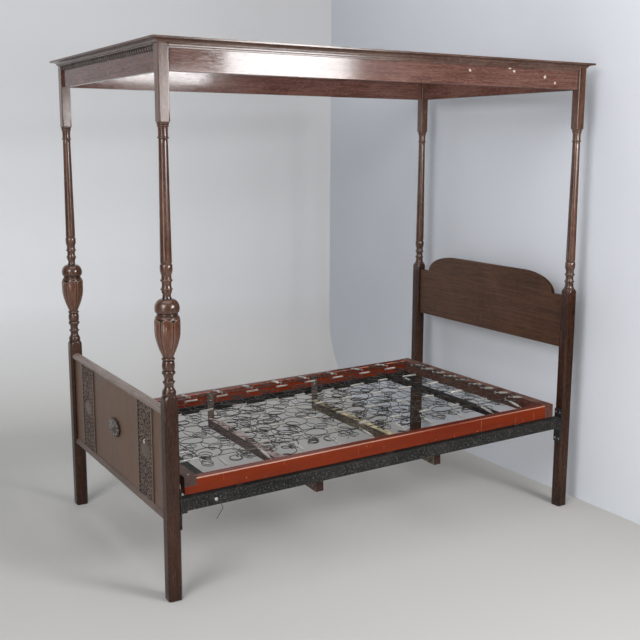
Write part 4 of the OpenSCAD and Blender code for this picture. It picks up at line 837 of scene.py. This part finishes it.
rust = shader.inputs["Base Color"].links[0].from_socket
tree.links.new(blend_colours(tree, outwards, rust, (0.040, 0.015, 0.011, 1)),
               shader.inputs["Base Color"])
tree.links.new(reckon(tree, "SUBTRACT", 0.3, reckon(tree, "MULTIPLY", outwards, 0.3)),
               shader.inputs["Metallic"])
for node in ("bracket_foot_left", "bracket_foot_right", "bracket_head_left", "bracket_head_right",
             "side_iron_left", "side_iron_right", "iron_hooks", "cross_iron_foot",
             "cross_iron_head",
             "packers"):
    dress(node, black_iron, 0.0008)
dress("hanger_straps", rusty_iron, 0.0005)
for node in ("bracket_screws", "frame_screws", "strap_screws", "post_pins"):
    dress(node, bright_zinc, 0.0004, 1)
bolt_zinc = bright_zinc.copy()           # the bolts at the head are painted over with the irons
bolt_zinc.name = "bolt_zinc"
tree = bolt_zinc.node_tree
shader = tree.nodes["Principled BSDF"]
headwards = part(tree, at_rest(tree), 1)
painted = spread(tree, headwards, -0.05, 0.05)
bare = shader.inputs["Base Color"].links[0].from_socket
tree.links.new(blend_colours(tree, painted, bare, (0.016, 0.016, 0.017, 1)),
               shader.inputs["Base Color"])
tree.links.new(spread(tree, headwards, -0.05, 0.05, 0.75, 0.0), shader.inputs["Metallic"])
dress("iron_bolts", bolt_zinc, 0.0004, 1)

# ---------------------------------------------------------------- Base timbers
# The sprung base's softwood frame: gloss red side rails, a brown foot bar let into
# them, a stained head bar, and two rough laths that hang below on straps.
material, tree, shader = new_finish("red_gloss")
place = at_rest(tree)
along = put(tree, "Mapping", None, Vector=place, Scale=(1, 0.12, 1)).outputs[0]
brushed = noise(tree, along, 160.0, 4.0)
cloud = noise(tree, along, 14.0, 5.0)
wear = put(tree, "Group", {"node_tree": wear_group}, Vector=place, Arris=0.004, Knocks=0.5).outputs
red = blend_colours(tree, spread(tree, cloud, 0.3, 0.7), (0.140, 0.013, 0.0012, 1),
                    (0.215, 0.025, 0.002, 1))
red = blend_colours(tree, spread(tree, brushed, 0.45, 0.8, 0.0, 0.4), red, (0.085, 0.009, 0.003, 1))
red = blend_colours(tree, reckon(tree, "MULTIPLY", wear["Scratch"], 0.5), red,
                    (0.48, 0.20, 0.12, 1))
red = blend_colours(tree, reckon(tree, "MULTIPLY", wear["Knock"], 0.8), red, (0.62, 0.48, 0.34, 1))
upward = looks_along(tree, 2)
# painted highlight along the rounded top arrises, broken into patches of worn paint
pale_mask = reckon(tree, "MULTIPLY", spread(tree, upward, 0.30, 0.55),
                spread(tree, upward, 0.97, 0.75))
pale_mask = reckon(tree, "MULTIPLY", pale_mask, spread(tree, cloud, 0.35, 0.6, 0.15, 0.65))
# painted shade: faces that look straight up are darker and browner
red = blend_colours(tree, spread(tree, upward, 0.75, 0.99, 0.0, 0.6), red, (0.085, 0.014, 0.006, 1))
red = blend_colours(tree, pale_mask, red, (0.60, 0.38, 0.29, 1))
tree.links.new(red, shader.inputs["Base Color"])
tree.links.new(spread(tree, cloud, 0.3, 0.8, 0.13, 0.26), shader.inputs["Roughness"])
set_shader(shader, Specular_IOR_Level=0.22)
tree.links.new(put(tree, "Bump", None, Strength=0.07, Distance=0.0005, Height=brushed).outputs[0],
               shader.inputs["Normal"])
red_gloss = material
dress("base_rail_left", red_gloss, 0.0010)
dress("base_rail_right", red_gloss, 0.0010)


def rough_timber(name, along, dark, light, smear, smear_share, roughness=0.6):
    """Sawn timber with grime, and smears of old paint or glue on it."""
    material = stained_oak(name, along, dark, light, smear, band=0.3, pale_share=0.3,
                           roughness=roughness, arris=0.004, wear_and_highlight=smear, knocks=0.5)
    tree, shader = material.node_tree, material.node_tree.nodes["Principled BSDF"]
    tone = shader.inputs["Base Color"].links[0].from_socket
    place = at_rest(tree)
    patch = noise(tree, place, 13.0, 6.0, 0.7)
    top = looks_along(tree, 2)
    patch = reckon(tree, "MULTIPLY", spread(tree, patch, 0.50 - 0.15 * smear_share, 0.56),
                   spread(tree, top, 0.3, 0.8, 0.03, 1.0))
    tone = blend_colours(tree, reckon(tree, "MULTIPLY", patch, smear_share, clamp=True), tone,
                         smear)
    tree.links.new(tone, shader.inputs["Base Color"])
    return material


dress("base_bar_foot", rough_timber("foot_bar_timber", "X", (0.030, 0.014, 0.010, 1),
                                    (0.075, 0.036, 0.027, 1),
                                    (0.22, 0.14, 0.12, 1), 0.35), 0.0015)
dress("base_bar_head", rough_timber("head_bar_timber", "X", (0.050, 0.013, 0.009, 1),
                                    (0.150, 0.042, 0.027, 1),
                                    (0.34, 0.22, 0.17, 1), 0.30), 0.0015)
dress("lath_foot", rough_timber("foot_lath_timber", "X", (0.022, 0.008, 0.006, 1),
                                (0.066, 0.024, 0.019, 1),
                                (0.60, 0.48, 0.45, 1), 0.95), 0.0015)
dress("lath_head", rough_timber("head_lath_timber", "X", (0.016, 0.007, 0.005, 1),
                                (0.050, 0.020, 0.014, 1),
                                (0.88, 0.78, 0.52, 1), 0.98), 0.0015)

# ---------------------------------------------------------------- Wire net
# Rings of black wire, tied to each other and to a stouter border wire by short
# close-wound links and bent ties. A slack cone of wire hangs in each ring.
iron_top_z, head_rise, iron_run = 0.4115, 0.043, 1.852      # of the irons that carry the base
rake = (Matrix.Translation((0, 0, iron_top_z))
        @ Matrix.Rotation(math.atan(head_rise / iron_run), 4, "X"))
rng = np.random.default_rng(7)
net_x, net_y, net_z = 432.0, 796.0, 85.0
ring_xs, ring_ys = np.arange(-2, 3) * 187.0, (np.arange(10) - 4.5) * 164.0
ring_r_mm, wire_r, border_r = 54.5, 1.7, 1.9


def tube(path, radius, sides=6, closed=False):
    """A round wire along a path, as (points, faces). Its section turns as little as it can."""
    p = np.asarray(path, float)
    n = len(p)
    if closed:
        tangent = np.roll(p, -1, 0) - np.roll(p, 1, 0)
    else:
        tangent = np.gradient(p, axis=0)
    tangent /= np.linalg.norm(tangent, axis=1)[:, None]
    side = np.zeros_like(p)
    start = np.cross(tangent[0], (0, 0, 1))
    if np.linalg.norm(start) < 0.2:
        start = np.cross(tangent[0], (1, 0, 0))
    side[0] = start / np.linalg.norm(start)
    for k in range(1, n):
        s = side[k - 1] - tangent[k] * (side[k - 1] @ tangent[k])
        side[k] = s / np.linalg.norm(s)
    other = np.cross(tangent, side)
    a = np.arange(sides) * 2 * math.pi / sides
    pts = (p[:, None, :] + radius * (np.cos(a)[None, :, None] * side[:, None, :]
                                     + np.sin(a)[None, :, None] * other[:, None, :])).reshape(-1, 3)
    span = n if closed else n - 1
    faces = [(k * sides + j, k * sides + (j + 1) % sides,
              ((k + 1) % n) * sides + (j + 1) % sides, ((k + 1) % n) * sides + j)
             for k in range(span) for j in range(sides)]
    if not closed:
        faces += [tuple(range(sides - 1, -1, -1)), tuple(range((n - 1) * sides, n * sides))]
    return pts, faces


def gather(tubes):
    """Many wires as one mesh, laid on the rake of the base."""
    verts, faces, first = [], [], 0
    for pts, fs in tubes:
        verts.append(pts)
        faces += [tuple(i + first for i in f) for f in fs]
        first += len(pts)
    verts = np.concatenate(verts) * mm
    turned = np.array(rake.to_3x3())
    return verts @ turned.T + np.array(rake.translation), faces


def coil(a, b, radius, per_turn, pitch):
    """A close-wound coil between two points, as a path."""
    a, b = np.asarray(a, float), np.asarray(b, float)
    length = np.linalg.norm(b - a)
    axis = (b - a) / length
    u = np.cross(axis, (0, 0, 1))
    u /= np.linalg.norm(u)
    v = np.cross(axis, u)
    turns = length / pitch
    t = np.linspace(0, 1, int(turns * per_turn) + 1)
    w = 2 * math.pi * turns * t
    return a + np.outer(t * length, axis) + radius * (np.outer(np.cos(w), u)
                                                      + np.outer(np.sin(w), v))


black_wire = metal_finish("net_wire", (0.020, 0.020, 0.020, 1), (0.050, 0.047, 0.043, 1),
                          (0.16, 0.11, 0.075, 1), 0.4, 0.28, 0.5, 0.1, 300.0)
link_steel = metal_finish("link_steel", (0.50, 0.48, 0.44, 1), (0.66, 0.64, 0.60, 1),
                          (0.20, 0.15, 0.10, 1), 0.5, 0.30, 0.8, 0.1, 300.0)
circle = np.linspace(0, 2 * math.pi, 33)[:-1]
wires, links, centres, reach = [], [], {}, {}
for i, x in enumerate(ring_xs):
    for j, y in enumerate(ring_ys):
        slack = 3 if i in (0, 4) or j in (0, 9) else 13
        cx, cy = x + rng.uniform(-slack, slack), y + rng.uniform(-slack, slack)
        reach[i, j] = ring_r_mm - rng.uniform(0, 1.6 * slack / 3)
        r1 = reach[i, j] + rng.uniform(-2, 1)
        r2 = reach[i, j] + rng.uniform(-2, 1)
        skew = rng.uniform(0, 3)
        tilt_x, tilt_y = rng.uniform(-0.05, 0.05, 2)
        along, across = r1 * np.cos(circle + skew), r2 * np.sin(circle + skew)
        dx = along * math.cos(skew) + across * math.sin(skew)
        dy = -along * math.sin(skew) + across * math.cos(skew)
        wires.append(tube(np.stack([cx + dx, cy + dy, net_z - 2 + tilt_x * dx + tilt_y * dy], -1),
                          wire_r, 6, True))
        centres[i, j] = np.array([cx, cy, net_z - 2])
        # the slack spring of this ring, wound down to a narrow double loop
        turns, drop, low_r = 3.1, rng.uniform(22, 48), rng.uniform(19, 28)
        t = np.linspace(0, 1, int(turns * 24))
        shrink = np.clip(t / 0.42, 0, 1) ** 0.8
        r = reach[i, j] - 1 + (low_r - reach[i, j] + 1) * shrink
        a = 2 * math.pi * turns * t * (1 if (i + j) % 2 else -1) + rng.uniform(0, 6)
        off = rng.uniform(-24, 24, 2)
        path = np.stack([cx + r * np.cos(a) + off[0] * shrink,
                         cy + r * np.sin(a) * (1 - 0.15 * shrink) + off[1] * shrink,
                         net_z - 4 - drop * t ** 0.8], -1)
        wires.append(tube(path, 1.4, 5))
        centres["low", i, j] = np.array([cx + off[0], cy + off[1], net_z - 4 - drop])


def bent_tie(a, b, sag, kink):
    """A loose tie wire between two points, bent at two places."""
    a, b = np.asarray(a, float), np.asarray(b, float)
    side = np.cross(b - a, (0, 0, 1))
    side /= np.linalg.norm(side)
    t = np.array([0, 0.18, 0.34, 0.5, 0.66, 0.82, 1.0])
    bend = np.array([0, 0.35, 1.0, 0.2, -0.9, -0.3, 0])
    pts = a + np.outer(t, b - a) + np.outer(bend * kink, side)
    pts[:, 2] -= sag * 4 * t * (1 - t)
    fine = np.linspace(0, 1, 25)
    return np.stack([np.interp(fine, t, pts[:, k]) for k in range(3)], -1)


def small_loop(middle, size, turns, drop):
    """A loose double loop of wire, pressed out of round and lying askew."""
    a = np.linspace(0, 2 * math.pi * turns, int(24 * turns)) + rng.uniform(0, 6)
    spin = rng.uniform(0, 3)
    u, v = size[0] * np.cos(a), size[1] * np.sin(a)
    wires.append(tube(np.asarray(middle) + np.stack([u * math.cos(spin) - v * math.sin(spin),
                                                     u * math.sin(spin) + v * math.cos(spin),
                                                     -drop * np.linspace(0, 1, len(a))], -1), 1.4,
                                                     5))


for i in range(5):
    for j in range(10):
        here = centres[i, j]
        if j < 9:                                # close-wound link to the next ring along
            there = centres[i, j + 1]
            d = (there - here) / np.linalg.norm(there - here)
            links.append(tube(coil(here + d * (reach[i, j] - 3), there - d * (reach[i, j + 1] - 3),
                                   3.6, 8, 2.4), 1.1, 4))
        if i < 4:                                # bent ties to the next ring across
            there = centres[i + 1, j]
            d = (there - here) / np.linalg.norm(there - here)
            n = np.array([-d[1], d[0], 0])
            from_a, to_b = here + d * (reach[i, j] - 8), there - d * (reach[i + 1, j] - 8)
            for s in (-1, 1):
                wires.append(tube(bent_tie(from_a + n * s * 24, to_b + n * s * 24,
                                           rng.uniform(0, 9), s * rng.uniform(2, 10)), 1.2, 5))
            low_a, low_b = centres["low", i, j], centres["low", i + 1, j]
            d = (low_b - low_a) / np.linalg.norm(low_b - low_a)
            wires.append(tube(bent_tie(low_a + d * 18, low_b - d * 18, 2.0, rng.uniform(-14, 14)),
                              1.2, 5))
for i in range(4):                           # a small loop in each gap, tied to the rings round it
    for j in range(9):
        middle = sum(centres[i + a, j + b] for a in (0, 1) for b in (0, 1)) / 4
        middle = middle + np.append(rng.uniform(-11, 11, 2), -6)
        small_loop(middle, rng.uniform(23, 36, 2), 1.9, rng.uniform(5, 16))
        for da, db in ((0, 0), (1, 0), (0, 1), (1, 1)):
            there = centres[i + da, j + db]
            d = (there - middle) / np.linalg.norm(there - middle)
            wires.append(tube(bent_tie(middle + d * 27, there - d * (reach[i + da, j + db] - 3),
                                       1.0, rng.uniform(-6, 6)), 1.2, 5))
for s in (-1, 1):                                # loose loops between the border and the timbers
    for y in np.arange(-775, 790, 92.0):
        at_x, at_y = s * (net_x + rng.uniform(24, 52)), y + rng.uniform(-22, 22)
        small_loop((at_x, at_y, net_z - 3), rng.uniform(19, 33, 2), rng.uniform(1.3, 2.2),
                   rng.uniform(4, 15))
        for way in rng.uniform(-0.9, 0.9, 2):
            tie = np.array([s * (net_x - 3), at_y + 45 * way, net_z - 2])
            wires.append(tube(bent_tie(tie, (at_x, at_y + 20 * way, net_z - 5), 3.0,
                                       rng.uniform(-9, 9)), 1.2, 5))
    for x in np.arange(-380, 400, 95.0):
        at_x, at_y = x + rng.uniform(-20, 20), s * (net_y + rng.uniform(26, 38))
        small_loop((at_x, at_y, net_z - 2), rng.uniform(18, 27, 2), rng.uniform(1.3, 2.2),
                   rng.uniform(3, 7))
        wires.append(tube(bent_tie((at_x + rng.uniform(-30, 30), s * (net_y - 3), net_z - 2),
                                   (at_x, at_y, net_z - 4), 1.0, rng.uniform(-9, 9)), 1.2, 5))
border = []
corner = 14.0
for sx, sy, a0 in ((1, 1, 0), (-1, 1, 90), (-1, -1, 180), (1, -1, 270)):
    for a in np.radians(np.linspace(a0, a0 + 90, 7)):
        border.append((sx * (net_x - 2.5 - corner) + corner * math.cos(a),
                       sy * (net_y - 2.5 - corner) + corner * math.sin(a), net_z - 2))
dense = []
for k in range(len(border)):
    p, q = np.array(border[k]), np.array(border[(k + 1) % len(border)])
    n = max(1, int(np.linalg.norm(q - p) / 40))
    dense += [p + (q - p) * s / n for s in range(n)]
dense = np.array(dense)
wave = np.sin(dense[:, 0] / 41) + np.sin(dense[:, 1] / 53) + np.sin(dense[:, 1] / 29)
dense[:, :2] *= 1 - 0.0035 * (1 + wave[:, None] / 3)
wires.append(tube(dense, border_r, 8, True))
strays = [[(536, -774, 6), (541, -782, -14), (556, -790, -34), (558, -766, -80), (550, -792, -124)],
          [(520, -690, 40), (516, -684, 6), (523, -672, -34), (513, -664, -58)]]
for path in strays:                              # two broken ends hang down by the right rail
    path = np.array(path, float)
    fine = np.linspace(0, len(path) - 1, 22)
    path = np.stack([np.interp(fine, range(len(path)), path[:, k]) for k in range(3)], -1)
    wires.append(tube(path, 1.2, 5))
verts, faces = gather(wires)
net = add_mesh("wire_net", verts, faces, black_wire)
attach(net, "spring_base")
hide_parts("spring_net")
verts, faces = gather(links)
net_links = add_mesh("net_links", verts, faces, link_steel)
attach(net_links, "spring_base")

# ---------------------------------------------------------------- Cone springs
# Four open cone springs of black wire stand on each lath, narrow end down, and hold
# the net up in the middle.
lath_top, lath_ys = -68.0, {"cone_springs_foot": -321.8, "cone_springs_head": 277.7}
cone_xs, cone_turns = ring_xs[:-1] + 93.5, 5.5
for node, y in lath_ys.items():
    cones = []
    for x in cone_xs:
        t = np.linspace(0, cone_turns, int(cone_turns * 26) + 1)
        climb = np.clip((t - 0.5) / (cone_turns - 1), 0, 1)
        r = 18 + 36 * climb
        z = lath_top + 2.2 + (net_z - 3 - 2.2 - lath_top - 2.2) * climb
        path = np.stack([x + r * np.cos(2 * math.pi * t), y + r * np.sin(2 * math.pi * t), z], -1)
        cones.append(tube(path, 1.9, 8))
    verts, faces = gather(cones)
    made = add_mesh(node + "_wound", verts, faces, black_wire)
    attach(made, "spring_base")
    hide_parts(node)

# ---------------------------------------------------------------- Edge springs
# Small close-wound zinc springs all round. One end is bent down into the timber as a
# pin, and the other ends in an eye round the border wire of the net.
spring_zinc = metal_finish("spring_zinc", (0.54, 0.53, 0.50, 1), (0.72, 0.71, 0.68, 1),
                           (0.30, 0.25, 0.20, 1), 0.35, 0.30, 0.55, 0.1, 240.0)
rail_in, pin_inset, eye_in = 533.0, 8.0, 2.5       # the eyes reach in past the border wire
rail_top, foot_bar_top, foot_pins_y, head_pins_y = 68.0, 78.0, -886.0, 876.0
side_body, side_lead, end_body, end_lead = 62, 18, 44, 12
side_right = [-728, -546, -392, -227, -60, 109, 261, 430, 585, 752]
side_left = [-785, -640, -474, -304, -141, 24, 186, 350, 513, 675]
ends_at = [-370, -275, -180, -80, 13, 118, 208, 313, 410]


def edge_spring(pin, towards, timber_top, run, barrel, lead):
    """One edge spring: pin, hook wire, close-wound body and eye, in its own plane."""
    d = np.array([towards[0], towards[1], 0.0])
    up = np.array([0, 0, 1.0])
    base = np.array([pin[0], pin[1], 0.0])
    at = lambda x, z: base + d * x + up * z
    start, eye = at(0, timber_top + 2.0), at(run - 5.0, net_z - 2)
    line = (eye - start) / np.linalg.norm(eye - start)
    a, b = start + line * lead, start + line * (lead + barrel)
    hook = [at(0, timber_top - 22), at(0, timber_top - 2), at(0.8, timber_top + 1),
            start + line * 4, a]
    made = [tube(hook, 1.3, 6), tube(coil(a, b, 4.3, 9, 3.0), 1.4, 5)]
    ring = [at(run + 4.6 * math.cos(q), net_z - 2 + 4.6 * math.sin(q))
            for q in np.linspace(math.pi, -math.pi * 0.8, 14)]
    made.append(tube([b, b + line * 3] + ring, 1.3, 6))
    return made


sides = []
for side, pins in ((1, side_right), (-1, side_left)):
    for y in pins:
        sides += edge_spring((side * (rail_in + pin_inset), y), (-side, 0), rail_top,
                             rail_in + pin_inset - net_x + eye_in, side_body, side_lead)
ends = []
for x in ends_at:
    ends += edge_spring((x, foot_pins_y), (0, 1), foot_bar_top, -foot_pins_y - net_y + eye_in,
                        end_body, end_lead)
    ends += edge_spring((x, head_pins_y), (0, -1), rail_top, head_pins_y - net_y + eye_in,
                        end_body, end_lead)
for node, springs in (("side_springs", sides), ("end_springs", ends)):
    verts, faces = gather(springs)
    made = add_mesh(node + "_wound", verts, faces, spring_zinc)
    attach(made, "spring_base")
    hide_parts(node)
